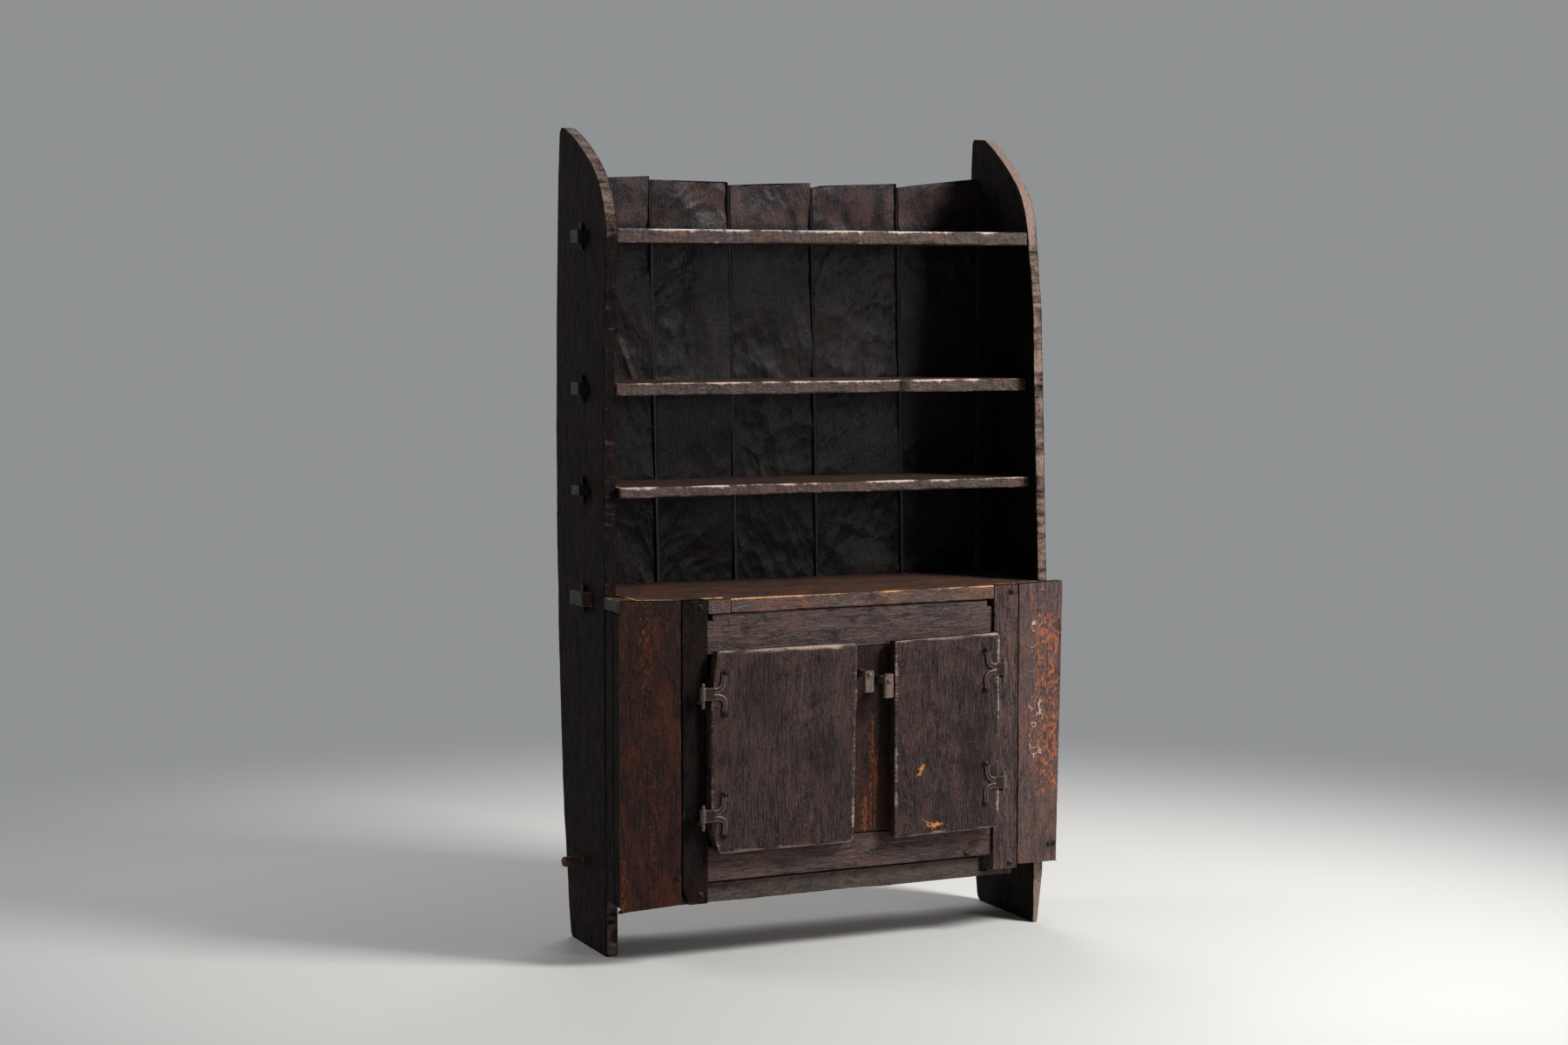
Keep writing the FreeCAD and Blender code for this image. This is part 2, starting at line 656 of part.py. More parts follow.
# Rails and muntin: the frame round the two door openings, set back from the posts' faces.
frame_back = "(dims.rail_set + dims.rail_thick)"
notch_foot = "dims.counter_under - dims.rail_notch"
top_rail_corners = [
    ("dims.post_left_in", "dims.rail_top_foot"),
    ("dims.post_right_in", "dims.rail_top_foot"),
    ("dims.post_right_in", notch_foot),
    ("dims.post_right_in - dims.rail_notch", notch_foot),
    ("dims.post_right_in - dims.rail_notch", "dims.counter_under"),
    ("dims.post_left_in + dims.rail_notch", "dims.counter_under"),
    ("dims.post_left_in + dims.rail_notch", notch_foot),
    ("dims.post_left_in", notch_foot),
]
bottom_rail_corners = box_corners(
    "dims.post_left_in",
    "dims.post_right_in",
    "dims.rail_bottom_foot",
    "dims.rail_bottom_head",
)
muntin_corners = box_corners(
    "dims.muntin_left",
    "dims.muntin_right",
    "dims.rail_bottom_head",
    "dims.rail_top_foot",
)
pivot_bores = [
    ("dims.latch_left_shift", "dims.latch_left_height", "dims.pivot_diameter / 2"),
    ("dims.latch_right_shift", "dims.latch_right_height", "dims.pivot_diameter / 2"),
]
for label, corners, bores in (
    ("rail_top", top_rail_corners, ()),
    ("rail_bottom", bottom_rail_corners, ()),
    ("muntin", muntin_corners, pivot_bores),
):
    member = new_body(label)
    pad(member, draw(member, label + "_outline", "XZ_Plane", corners, holes=bores), "dims.rail_thick")
    set_in_bay(member, "0", frame_back, "0")

# Apron under the floor board's front, behind the posts, with a broken corner near its right end.
notch_left = "(dims.post_right_in - dims.apron_notch_width)"
apron_corners = [
    (f"-{half_bay}", "dims.apron_left_foot"),
    (half_bay, "dims.apron_right_foot"),
    (half_bay, "dims.floor_under"),
    ("dims.post_right_in", "dims.floor_under"),
    ("dims.post_right_in", "dims.floor_under - dims.apron_notch_height"),
    (notch_left, "dims.floor_under - dims.apron_notch_height"),
    (notch_left, "dims.floor_under"),
    (f"-{half_bay}", "dims.floor_under"),
]
apron = new_body("apron")
pad(apron, draw(apron, "apron_outline", "XZ_Plane", apron_corners), "dims.apron_thick")
set_in_bay(apron, "0", "dims.front_thick + dims.apron_thick", "0")

# Doors: thick boards laid over the frame and the posts' edges, their front edges worn round. The left one
# narrows downwards, and both its hinge corners are worn away.
left_door_corners = [
    ("dims.door_left_hinge + dims.door_cut_width", "dims.door_foot"),
    ("dims.door_left_free - dims.door_left_narrowing", "dims.door_foot"),
    ("dims.door_left_free", "dims.door_head"),
    ("dims.door_left_hinge + dims.door_top_cut_width", "dims.door_head"),
    ("dims.door_left_hinge", "dims.door_head - dims.door_top_cut_height"),
    ("dims.door_left_hinge", "dims.door_foot + dims.door_cut_height"),
]
right_door_corners = [
    ("dims.door_right_free", "dims.door_foot"),
    ("dims.door_right_hinge", "dims.door_foot + dims.door_right_slope"),
    ("dims.door_right_hinge", "dims.door_head + dims.door_right_slope"),
    ("dims.door_right_free", "dims.door_head"),
]
for label, corners in (("door_left", left_door_corners), ("door_right", right_door_corners)):
    door = new_body(label)
    board = pad(door, draw(door, label + "_outline", "XZ_Plane", corners), "dims.door_thick")
    face = board.Shape.BoundBox.YMin
    rim = []
    for i, edge in enumerate(board.Shape.Edges, start=1):
        if all(abs(vertex.Y - face) < TOUCH for vertex in edge.Vertexes):
            rim.append(f"Edge{i}")
    worn_edge = door.newObject("PartDesign::Chamfer", label + "_worn_edge")
    worn_edge.Base = (board, rim)
    worn_edge.setExpression("Size", "dims.door_round")
    set_in_bay(door, "0", f"{door_front} + dims.door_thick", "0")


# Hinges: a forged strap rolled round the pin at one end and split into two curled arms at the other.
def arm_corners(sign):
    """The strap's outline from the pin outwards: root, lower arm, crotch and upper arm."""
    root = f"{sign} * dims.arm_root"
    inner = f"{sign} * (dims.arm_root + dims.arm_turn)"
    outer = f"{sign} * (dims.arm_root + dims.arm_turn + dims.arm_width)"
    edge = "dims.knuckle_height / 2"
    bend = f"({edge} + dims.arm_turn)"
    crotch = f"({edge} - dims.arm_width)"
    lower = [(root, f"-{edge}"), (inner, f"-{bend}"), (inner, "-dims.arm_rise"), (outer, "-dims.arm_rise")]
    lower += [(outer, f"-{bend}"), (root, f"-{crotch}")]
    upper = [(root, crotch), (outer, bend), (outer, "dims.arm_rise"), (inner, "dims.arm_rise")]
    upper += [(inner, bend), (root, edge)]
    return [("0", f"-{edge}")] + lower + upper + [("0", edge)]


TIP_RISE_SHARE = 0.4
inner_bow = f"{QUARTER_RISE_SHARE} * dims.arm_turn"
outer_bow = f"{QUARTER_RISE_SHARE} * (dims.arm_turn + dims.arm_width)"
tip_bow = f"{TIP_RISE_SHARE} * dims.arm_width"
for name, sign, pin_u, height in HINGES:
    hinge = new_body("hinge_" + name)
    bows = {1: inner_bow, 3: tip_bow, 5: outer_bow, 7: outer_bow, 9: tip_bow, 11: inner_bow}
    turned_in = (1, 11)
    signed = {i: f"{-sign if i in turned_in else sign} * {bow}" for i, bow in bows.items()}
    strap = draw(hinge, name + "_arms", "XZ_Plane", arm_corners(sign), signed, offset=bore_radius)
    pad(hinge, strap, "dims.strap_thick")
    rings = [("0", "0", knuckle_radius), ("0", "0", bore_radius)]
    roll = draw(hinge, name + "_knuckle", "XY_Plane", holes=rings, offset="-dims.knuckle_height / 2")
    pad(hinge, roll, "dims.knuckle_height")
    set_in_bay(hinge, pin_u, pin_v, height)

    # Pintle: a plumb pin through the knuckle on a spike driven through the post.
    pintle = new_body("pintle_" + name)
    pin_rise = f"{spike_drop} + dims.knuckle_height / 2 + dims.pin_nub"
    for part_name, plane, diameter, length, backwards in (
        ("pin_up", "XY_Plane", "dims.pin_diameter", pin_rise, False),
        ("pin_down", "XY_Plane", "dims.pin_diameter", "dims.spike_diameter / 2 + dims.pin_nub", True),
        ("spike", "XZ_Plane", "dims.spike_diameter", f"dims.front_thick - {pin_v} + dims.spike_out", True),
    ):
        ring = draw(pintle, f"{name}_{part_name}", plane, holes=[("0", "0", f"{diameter} / 2")])
        pad(pintle, ring, length, backwards)
    set_in_bay(pintle, pin_u, pin_v, f"{height} - {spike_drop}")

# Turn buttons: a whittled block whose round shoulder bears on the muntin and whose arm laps over the door.
latch_back = f"({door_front} - dims.latch_gap)"
for name in ("left", "right"):
    latch = new_body("latch_" + name)
    bore = ("0", "0", "dims.pivot_diameter / 2 + dims.pin_clear")
    half_width = "dims.latch_width / 2"
    arm = box_corners(f"-{half_width}", half_width, f"-dims.latch_{name}_arm", f"dims.latch_{name}_heel")
    pad(latch, draw(latch, name + "_arm", "XZ_Plane", arm, holes=[bore]), "dims.latch_thick")
    shoulder = draw(latch, name + "_shoulder", "XZ_Plane", holes=[("0", "0", "dims.latch_boss / 2"), bore])
    pad(latch, shoulder, f"dims.rail_set - {latch_back} - dims.latch_rest", True)
    set_in_bay(latch, f"dims.latch_{name}_shift", latch_back, f"dims.latch_{name}_height")

    # Nail that the button turns on, driven through the muntin.
    pivot = new_body("latch_nail_" + name)
    shank_length = f"{frame_back} - {latch_back} + dims.latch_thick + dims.latch_rest"
    for part_name, diameter, length, backwards in (
        ("head", "dims.pivot_head", "dims.pivot_head_high", False),
        ("shank", "dims.pivot_diameter", shank_length, True),
    ):
        ring = draw(pivot, f"{name}_{part_name}", "XZ_Plane", holes=[("0", "0", f"{diameter} / 2")])
        pad(pivot, ring, length, backwards)
    head_v = f"{latch_back} - dims.latch_thick - dims.latch_rest"
    set_in_bay(pivot, f"dims.latch_{name}_shift", head_v, f"dims.latch_{name}_height")


# Forged nail along Y: a faceted rose head on the surface and a square shank that tapers inwards.
def facet_block(name, low, high, low_width, high_width):
    """A square block along Y whose width runs from low_width to high_width."""
    block = doc.addObject("Part::Wedge", name)
    ends = {"Ymin": low, "Ymax": high}
    for axis in ("X", "Z"):
        ends[axis + "min"] = f"-{low_width} / 2"
        ends[axis + "max"] = f"{low_width} / 2"
        ends[axis + "2min"] = f"-{high_width} / 2"
        ends[axis + "2max"] = f"{high_width} / 2"
    for prop, formula in ends.items():
        block.setExpression(prop, formula)
    return block


def nail_pattern(name, length):
    """One nail, its head's underside at the origin."""
    nail = doc.addObject("Part::Fuse", name)
    nail.Base = facet_block(name + "_head", "0", "dims.nail_head_high", "dims.nail_head", "dims.nail_crown")
    nail.Tool = facet_block(name + "_shank", f"-{length}", "0", "dims.nail_tip", "dims.nail_shank")
    doc.recompute()
    return nail


def group(label, pattern, places):
    """One sub-part of many like solids: the pattern at each place."""
    members = []
    for place in places:
        member = pattern.Shape.copy()
        member.Placement = place.multiply(member.Placement)
        members.append(member)
    feature = doc.addObject("Part::Feature", label)
    feature.Label = label
    feature.Shape = Part.makeCompound(members)
    SUB_PARTS.append(feature)


def facing(x, y, z, angle):
    """Place whose +Y points out of the wood: angle turns it about the plumb line."""
    return FreeCAD.Placement(FreeCAD.Vector(value(x), value(y), value(z)), FreeCAD.Rotation(UPRIGHT, angle))


BOARD_NAIL = nail_pattern("board_nail", "dims.nail_length")
HINGE_NAIL = nail_pattern("hinge_nail", "dims.hinge_nail_length")
front_angle = 180 + value("dims.bay_turn")

# Nails of the front. Shares are of the board's width from its left or knee edge. The left corner board's
# nail sits high in the floor board's edge.
POST_NAIL_SHARE = 0.7
CORNER_NAIL_SHARES = {"left": (0.07,), "right": (0.7, 0.82)}
CORNER_NAIL_HEIGHTS = {"left": "(dims.floor_height - dims.nail_shank)", "right": floor_middle}
RAIL_NAIL_SHARE = 0.91
counter_middle = "(dims.counter_under + dims.counter_thick / 2)"
front_places = []
for low_u, name in ((f"-{half_bay}", "post_left"), ("dims.post_right_in", "post_right")):
    for height in (counter_middle, f"(dims.floor_under + dims.{name}_foot) / 2"):
        spot = bay_point(f"{low_u} + {POST_NAIL_SHARE} * dims.{name}_width", "0")
        front_places.append(facing(*spot, height, front_angle))
for name, sign in (("left", -1), ("right", 1)):
    cant = f"dims.cant_{name}"
    for share in CORNER_NAIL_SHARES[name]:
        along = f"{share} * dims.corner_{name}_width"
        spot = bay_point(f"{sign} * ({half_bay} + {along} * cos({cant}))", f"{along} * sin({cant})")
        front_places.append(facing(*spot, CORNER_NAIL_HEIGHTS[name], front_angle + sign * value(cant)))
rail_along = f"{RAIL_NAIL_SHARE} * (dims.post_right_in - dims.post_left_in)"
rail_spot = bay_point(f"dims.post_left_in + {rail_along}", "dims.rail_set")
front_places.append(facing(*rail_spot, floor_middle, front_angle))
group("front_nails", BOARD_NAIL, front_places)

# Nails of the back: one in each plank at every shelf, the counter and the floor board.
levels = [f"{head} - {thick} / 2" for name, head, thick, tenon in SHELVES] + [floor_middle]
plank_face = f"{back_line} + dims.plank_thick"
back_places = []
for number in range(len(PLANK_TOP_SHARES)):
    middle = f"({seam(number, '0')} + {seam(number + 1, 'dims.seam_lean')}) / 2"
    back_places += [facing(middle, plank_face, z, 0) for z in levels]
group("back_nails", BOARD_NAIL, back_places)

# Nails through the tips of the hinge arms, into the doors.
tip_reach = "(dims.arm_root + dims.arm_turn + dims.arm_width / 2)"
for side_name, hinges in (("left", HINGES[:2]), ("right", HINGES[2:])):
    places = []
    for name, sign, pin_u, height in hinges:
        spot = bay_point(f"{pin_u} + {sign} * {tip_reach}", f"{door_front} - dims.strap_thick")
        for end in (-1, 1):
            places.append(facing(*spot, f"{height} + {end} * dims.arm_rise", front_angle))
    group("hinge_nails_" + side_name, HINGE_NAIL, places)

# Wedges through the tenons, thick end up, driven down outside the side boards.
tusk = doc.addObject("Part::Wedge", "tusk")
tusk_sizes = {
    "Xmin": "0",
    "Xmax": "dims.wedge_thick - dims.wedge_slope",
    "X2min": "0",
    "X2max": "dims.wedge_thick",
    "Ymin": "-dims.wedge_length / 2",
    "Ymax": "dims.wedge_length / 2",
    "Zmin": "-dims.wedge_width / 2",
    "Zmax": "dims.wedge_width / 2",
    "Z2min": "-dims.wedge_width / 2",
    "Z2max": "dims.wedge_width / 2",
}
for prop, formula in tusk_sizes.items():
    tusk.setExpression(prop, formula)
doc.recompute()
STAND_UP = FreeCAD.Rotation(FreeCAD.Vector(1, 0, 0), 90)
tusk_places = []
for name, head, thick, tenon in SHELVES:
    for face, angle in ((left_out, 180), (right_out, 0)):
        spot = FreeCAD.Vector(value(face), value(tenon_line), value(f"{head} - {thick} / 2"))
        tusk_places.append(FreeCAD.Placement(spot, FreeCAD.Rotation(UPRIGHT, angle).multiply(STAND_UP)))
group("tusk_wedges", tusk, tusk_places)

# Proof of every object, then one file for each sub-part.
doc.recompute()
for item in doc.Objects:
    if "Invalid" in item.State or "Error" in item.State:
        raise ValueError(f"{item.Label} failed: {item.State}")
whole = FreeCAD.BoundBox()
for item in SUB_PARTS:
    if item.Shape.isNull() or not item.Shape.isValid():
        raise ValueError(f"{item.Label} has no sound shape")
    whole.add(item.Shape.BoundBox)
os.makedirs("parts", exist_ok=True)
for item in SUB_PARTS:
    item.Shape.exportStep(f"parts/{item.Label}.step")
print(len(SUB_PARTS), "sub-parts")
print("reach in X", whole.XMin, whole.XMax, "in Y", whole.YMin, whole.YMax, "in Z", whole.ZMin, whole.ZMax)
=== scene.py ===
"""Looks of a rustic open-shelf dresser with a canted cupboard below, in metres, in the part's frame."""
import json
import bpy
import numpy as np
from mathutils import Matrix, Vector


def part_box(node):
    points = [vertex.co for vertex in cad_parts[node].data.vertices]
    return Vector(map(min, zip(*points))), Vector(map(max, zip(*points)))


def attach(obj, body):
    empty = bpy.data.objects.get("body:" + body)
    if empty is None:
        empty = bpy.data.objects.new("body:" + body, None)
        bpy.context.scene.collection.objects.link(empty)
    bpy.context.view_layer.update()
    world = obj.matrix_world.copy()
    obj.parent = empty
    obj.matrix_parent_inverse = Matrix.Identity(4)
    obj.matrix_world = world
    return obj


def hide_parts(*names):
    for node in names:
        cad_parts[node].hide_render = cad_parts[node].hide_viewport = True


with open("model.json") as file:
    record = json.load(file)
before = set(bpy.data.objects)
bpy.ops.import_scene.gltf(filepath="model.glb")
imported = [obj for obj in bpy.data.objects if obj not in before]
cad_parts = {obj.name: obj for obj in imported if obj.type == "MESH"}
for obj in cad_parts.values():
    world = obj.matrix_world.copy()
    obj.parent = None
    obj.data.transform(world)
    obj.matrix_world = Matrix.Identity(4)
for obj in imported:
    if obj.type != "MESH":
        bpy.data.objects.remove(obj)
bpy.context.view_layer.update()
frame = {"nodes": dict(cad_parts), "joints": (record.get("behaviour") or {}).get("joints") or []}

# Side boards: two hewn oak planks on edge, smoke-black, that stand on their own feet. Their tops are
# swept back in a curve cut with an axe across the grain, and every shelf is tenoned through them.
MM = 0.001
FAR = 9.0  # metres, beyond every piece
UP = np.array((0.0, 0.0, 1.0))
RIGHT = np.array((1.0, 0.0, 0.0))
FRONT = np.array((0.0, -1.0, 0.0))


def hashed(cells, seed):
    """A number for each cell whose fraction looks random: an enlarged sine of its place and the seed."""
    rates = np.array((127.1, 311.7, 74.7))[: cells.shape[-1]]
    seed_rate, gain = 19.19, 43758.5453
    return np.sin(cells @ rates + seed_rate * seed) * gain


def soft_noise(places, seed):
    """Smooth noise from -1 to 1: every corner of a unit lattice holds the fraction of its hashed number,
    and a place takes the corners of its cell, blended by smooth steps."""
    cell = np.floor(places)
    part = places - cell
    blend = part * part * (3 - 2 * part)
    total = np.zeros(places.shape[:-1])
    for corner in np.ndindex(*(2,) * places.shape[-1]):
        number = hashed(cell + corner, seed)
        weight = np.prod(np.where(corner, blend, 1 - blend), axis=-1)
        total += weight * (2 * (number - np.floor(number)) - 1)
    return total


def tool_bowls(places, seed):
    """Depth from 0 to 1 of overlapping tool cuts: every unit cell holds one cut at a hashed place, and a
    place lies in the nearest of nine bowls round it, one minus its squared distance from the middle."""
    rim, room, second_rate = 0.15, 0.7, 7.3
    cell = np.floor(places)
    nearest = np.full(places.shape[:-1], np.inf)
    for step in np.ndindex(3, 3):
        at = cell + step - 1
        number = hashed(at, seed)
        drift = np.stack((number, second_rate * number), axis=-1)
        middle = at + rim + room * (drift - np.floor(drift))
        nearest = np.minimum(nearest, ((places - middle) ** 2).sum(-1))
    return np.clip(1 - nearest, 0, 1)


def board_axes(node, along, facing):
    """Unit rows along, across and through a board: through is the normal of the solid's largest triangle,
    turned to the given facing, and along is the given way made square to it."""
    mesh = frame["nodes"][node].data
    mesh.calc_loop_triangles()
    through = np.array(max(mesh.loop_triangles, key=lambda triangle: triangle.area).normal)
    through = through * np.sign(through @ facing)
    along = along - through * (through @ along)
    along = along / np.linalg.norm(along)
    return np.array((along, np.cross(through, along), through))


def solid_edges(node, axes):
    """Ends of all the solid's triangle edges, as places along, across and through the board."""
    mesh = frame["nodes"][node].data
    corners = np.array([vertex.co for vertex in mesh.vertices], float) @ axes.T
    pairs = np.array([edge.vertices[:] for edge in mesh.edges])
    return corners[pairs[:, 0]], corners[pairs[:, 1]]


def cut_limits(node, axes, stations, window=(-FAR, FAR), mitred=False):
    """The solid's least and greatest place across and through at each station: the reach of the points
    where its edges within the window cross the plane there. A mitred board has one reach across for each
    broad face, and the last two rows say how far the second differs."""
    tiny, face_depth = 1e-9, 1 * MM
    start, end = solid_edges(node, axes)
    first, last = np.minimum(start, end)[:, 1], np.maximum(start, end)[:, 1]
    inside = (first > window[0]) & (last < window[1])
    start, end = start[inside], end[inside]
    way = end - start
    level = np.abs(way[:, 0]) < tiny
    share = (stations[:, None] - start[:, 0]) / np.where(level, 1.0, way[:, 0])
    hit = (share >= 0) & (share <= 1) & ~level
    across = start[:, 1] + share * way[:, 1]
    through = start[:, 2] + share * way[:, 2]
    low, high = np.where(hit, through, FAR).min(1), np.where(hit, through, -FAR).max(1)
    sides = []
    for face in (low, high):
        on_face = hit & (np.abs(through - face[:, None]) < face_depth) if mitred else hit
        sides += [np.where(on_face, across, FAR).min(1), np.where(on_face, across, -FAR).max(1)]
    return np.array((sides[0], sides[1], low, high, sides[2] - sides[0], sides[3] - sides[1]))


def section_loop(faces, edges, arcs):
    """Weights of a rounded rectangle's points, counter-clockwise from its low corner: a point across blends
    the two limits across and the four radii, a point through likewise. Gives both and the way out."""
    rows = []
    signs = ((1, 1), (-1, 1), (-1, -1), (1, -1))
    ends = ((0, 0), (1, 0), (1, 1), (0, 1))
    for corner in range(4):
        angles = np.radians(180 + 90 * corner + np.linspace(0, 90, arcs))
        outward = np.stack((np.cos(angles), np.sin(angles)), axis=-1)
        weights = np.zeros((2, arcs, 6))
        for way in (0, 1):
            weights[way, :, ends[corner][way]] = 1
            weights[way, :, 2 + corner] = signs[corner][way] + outward[:, way]
        rows.append(np.concatenate((*weights, outward), axis=1))
    loop = []
    for corner, count in enumerate((faces, edges, faces, edges)):
        after = rows[(corner + 1) % 4][0]
        share = np.arange(1, count + 1)[:, None] / (count + 1)
        loop += [rows[corner], rows[corner][-1] * (1 - share) + after * share]
    return np.split(np.concatenate(loop), (6, 12), axis=1)


def hewn_surface(
    axes, stations, limits, seed, rounding=4, scoop=(60, 42, 1.5), slant=12, nick=(14, 0.8), wave=(160, 2),
    points=(30, 5, 4), chip=4, rub=1, rub_reach=5, edge_rub=(0, 0), rub_break=0.5, scuff=None,
):
    """A hewn board as a closed surface: a rounded rectangle carried along the stations. Slow noise moves
    its edges, quicker noise its corner radii, with chips at the peaks. Slanted tool bowls in patches sink
    its faces, and cross cuts its edges, so all of it only takes wood away. Sizes are in millimetres.
    Rounding and rub may name four corners from the low one round, wave its amounts at the low and the
    high edge. Edge_rub is the rub on those two, and rub_break how far noise breaks the rub up."""
    # Lengths in millimetres over which the noises change, and the depth of the roughness.
    radius_run, chip_run, patch_run, rough_run, break_run, rough_deep = 45, 22, 130, 9, 34, 0.35
    # Cells between the cuts of two faces or two edges, and metres between the grain of two boards.
    face_apart, edge_apart, boards_apart = 40, 80, np.array((0.7, 3.1, 1.9))
    faces, edges, arcs = points
    across_weights, through_weights, outward = section_loop(faces, edges, arcs)
    out_across, out_through = outward.T
    across_low, across_high, low, high, low_skew, high_skew = limits[..., None]
    along = stations[:, None]
    run = along / MM
    spot = lambda size, way: np.stack((run / size, np.full_like(run, way + 0.5)), axis=-1)
    wander = lambda way, amount: amount * MM * (0.5 + 0.5 * soft_noise(spot(wave[0], way), seed))
    end_gap = np.minimum(along - along[0], along[-1] - along)
    rounding, rub = np.broadcast_to(rounding, 4), np.broadcast_to(rub, 4)
    end_round = rounding.max() * MM
    inset = end_round - np.sqrt(end_round**2 - np.clip(end_round - end_gap, 0, end_round) ** 2)
    across_low = across_low + wander(1, wave[1]) + inset
    across_high = across_high - wander(2, wave[-1]) - inset
    low, high = low + 0.4 * inset, high - 0.4 * inset
    radii = []
    for corner in range(4):
        slow = 0.55 + 0.45 * soft_noise(spot(radius_run, 10 + corner), seed)
        burst = np.clip(soft_noise(spot(chip_run, 20 + corner), seed) - 0.45, 0, 1)
        radii.append(MM * (rounding[corner] * (0.5 + slow) + chip * burst))
    radii = np.minimum(radii, 0.45 * np.minimum(across_high - across_low, high - low))
    across = np.concatenate((across_low, across_high, *radii), axis=1) @ across_weights.T
    through = np.concatenate((low, high, *radii), axis=1) @ through_weights.T
    share_through = (through - low) / (high - low)
    share_across = (across - across_low) / (across_high - across_low)
    along, end_gap = np.broadcast_to(along, across.shape), np.broadcast_to(end_gap, across.shape)
    gap_across = np.minimum(across - across_low, across_high - across)
    gap_through = np.minimum(through - low, high - through)
    gaps = np.sort(np.stack((gap_across, gap_through, end_gap)), axis=0)
    across = across + share_through * (low_skew * (1 - share_across) + high_skew * share_across)
    face_share, edge_share = np.abs(out_through) ** 3, np.abs(out_across) ** 3
    side_offset = face_apart * np.sign(out_through) + edge_apart * np.sign(out_across)
    lean = np.radians(slant)
    stroke = (along * np.cos(lean) + across * np.sin(lean)) / MM / scoop[0]
    beside = (across * np.cos(lean) - along * np.sin(lean)) / MM / scoop[1] + side_offset
    field = np.stack((along, across), axis=-1) / MM
    beside = beside + 0.6 * soft_noise(field / (1.4 * scoop[0]), seed + 4)
    tool = np.stack((stroke, beside), axis=-1)
    bowls = 0.72 * tool_bowls(tool, seed) + 0.28 * tool_bowls(2.3 * tool, seed + 6)
    bowls = bowls * np.clip(0.66 + 0.9 * soft_noise(field / patch_run + 7.7, seed + 5), 0.15, 1)
    knife = np.stack((along / MM / nick[0], through / MM / (4 * nick[0]) + side_offset), axis=-1)
    cuts = tool_bowls(knife, seed + 1)
    local = np.stack((along, across, through), axis=-1)
    rough = 0.5 + 0.5 * soft_noise(local / (rough_run * MM), seed + 2)
    depth = MM * (face_share * scoop[2] * bowls + edge_share * nick[1] * cuts + rough_deep * rough)
    across = across - depth * out_across
    through = through - depth * out_through
    local = np.stack((along, across, through), axis=-1)
    held = (1 - share_through) * (rub[0] * (1 - share_across) + rub[1] * share_across)
    held = held + share_through * (rub[3] * (1 - share_across) + rub[2] * share_across)
    broken = np.clip(0.72 + rub_break * soft_noise(local / (break_run * MM), seed + 3), 0, 1)
    broken = broken * (1 - 0.55 * cuts * edge_share)
    wear = held * broken * np.exp(-np.hypot(gaps[0], gaps[1]) / (rub_reach * MM))
    wear = np.maximum(wear, np.where(out_across < 0, *edge_rub) * edge_share * (0.4 + 0.6 * broken))
    # Rims between the tool bowls are painted paler: partly wear on the high spots, partly a painted
    # highlight.
    wear = np.maximum(wear, 0.06 * scoop[2] * face_share * np.clip(1 - 2 * bowls, 0, 1))
    count, ring = along.shape
    index = np.arange(count * ring).reshape(count, ring)
    turned = np.roll(index, -1, axis=1)
    quads = np.stack((index[:-1], turned[:-1], turned[1:], index[1:]), axis=-1).reshape(-1, 4).tolist()
    near = np.arange(arcs - 1, arcs + faces + 1)
    far = (3 * arcs + faces + edges - 1 + np.arange(faces + 2))[::-1]
    strips = np.stack((near[:-1], near[1:], far[1:], far[:-1]), axis=-1)
    right_end = np.arange(near[-1], far[-1] + 1)
    left_end = np.concatenate((np.arange(far[0], ring), np.arange(0, near[0] + 1)))
    caps = strips.tolist() + [right_end.tolist(), left_end.tolist()]
    last = (count - 1) * ring
    quads += [cap[::-1] for cap in caps] + [[last + corner for corner in cap] for cap in caps]
    return dict(
        points=(local @ axes).reshape(-1, 3),
        faces=quads,
        grain=(local + boards_apart * seed).reshape(-1, 3),
        wear=wear.ravel(),
        end=np.clip(1 - end_gap / (3 * MM), 0, 1).ravel(),
        scuff=np.zeros(count * ring) if scuff is None else scuff(local).ravel(),
    )


def spaced(low, high, step, *denser):
    """Stations from low to high, in metres, a step of so many millimetres apart, and a few close to both
    ends. Each denser stretch names its two ends and its own step."""
    tip_gaps, least_gap, slack = np.array((0.05, 0.4, 1.2, 2.5)) * MM, 0.2 * MM, 1e-9
    marks = [low + tip_gaps, high - tip_gaps]
    for first, last, pace in ((low, high, step), *denser):
        marks.append(np.linspace(first, last, int((last - first) / MM / pace) + 2))
    marks = np.unique(np.round(np.concatenate(marks), 6))
    marks = marks[(marks >= low + tip_gaps[0] - slack) & (marks <= high - tip_gaps[0] + slack)]
    return marks[np.concatenate(([True], np.diff(marks) > least_gap))]


def hewn_board(
    node, along, facing, step, seed, *denser, span=None, window=(-FAR, FAR), mitred=False, kinked=False,
    trim=None, **marks,
):
    """A hewn board: stations a step apart over its span, or over all its solid, cut to the solid's limits.
    A kinked board has two more stations close round every place where the solid has corners, and trim is
    a depth taken off the low edge at each station."""
    tip_room, clear, beside = 4 * MM, 0.6 * MM, 0.25 * MM
    axes = board_axes(node, along, facing)
    corners = np.concatenate(solid_edges(node, axes))[:, 0]
    stations = spaced(*(span or (corners.min(), corners.max())), step, *denser)
    if kinked:
        kinks = np.unique(np.round(corners, 4))
        kinks = kinks[(kinks > stations[0] + tip_room) & (kinks < stations[-1] - tip_room)]
        stations = stations[(np.abs(stations[:, None] - kinks) > clear).all(axis=1)]
        stations = np.sort(np.concatenate((stations, kinks - beside, kinks + beside)))
    limits = cut_limits(node, axes, stations, window, mitred)
    if trim:
        limits[0] += trim(stations)
    return hewn_surface(axes, stations, limits, seed, **marks)


def add_object(name, data):
    """A new object that shows the data, put in the scene."""
    made = bpy.data.objects.new(name, data)
    bpy.context.scene.collection.objects.link(made)
    return made


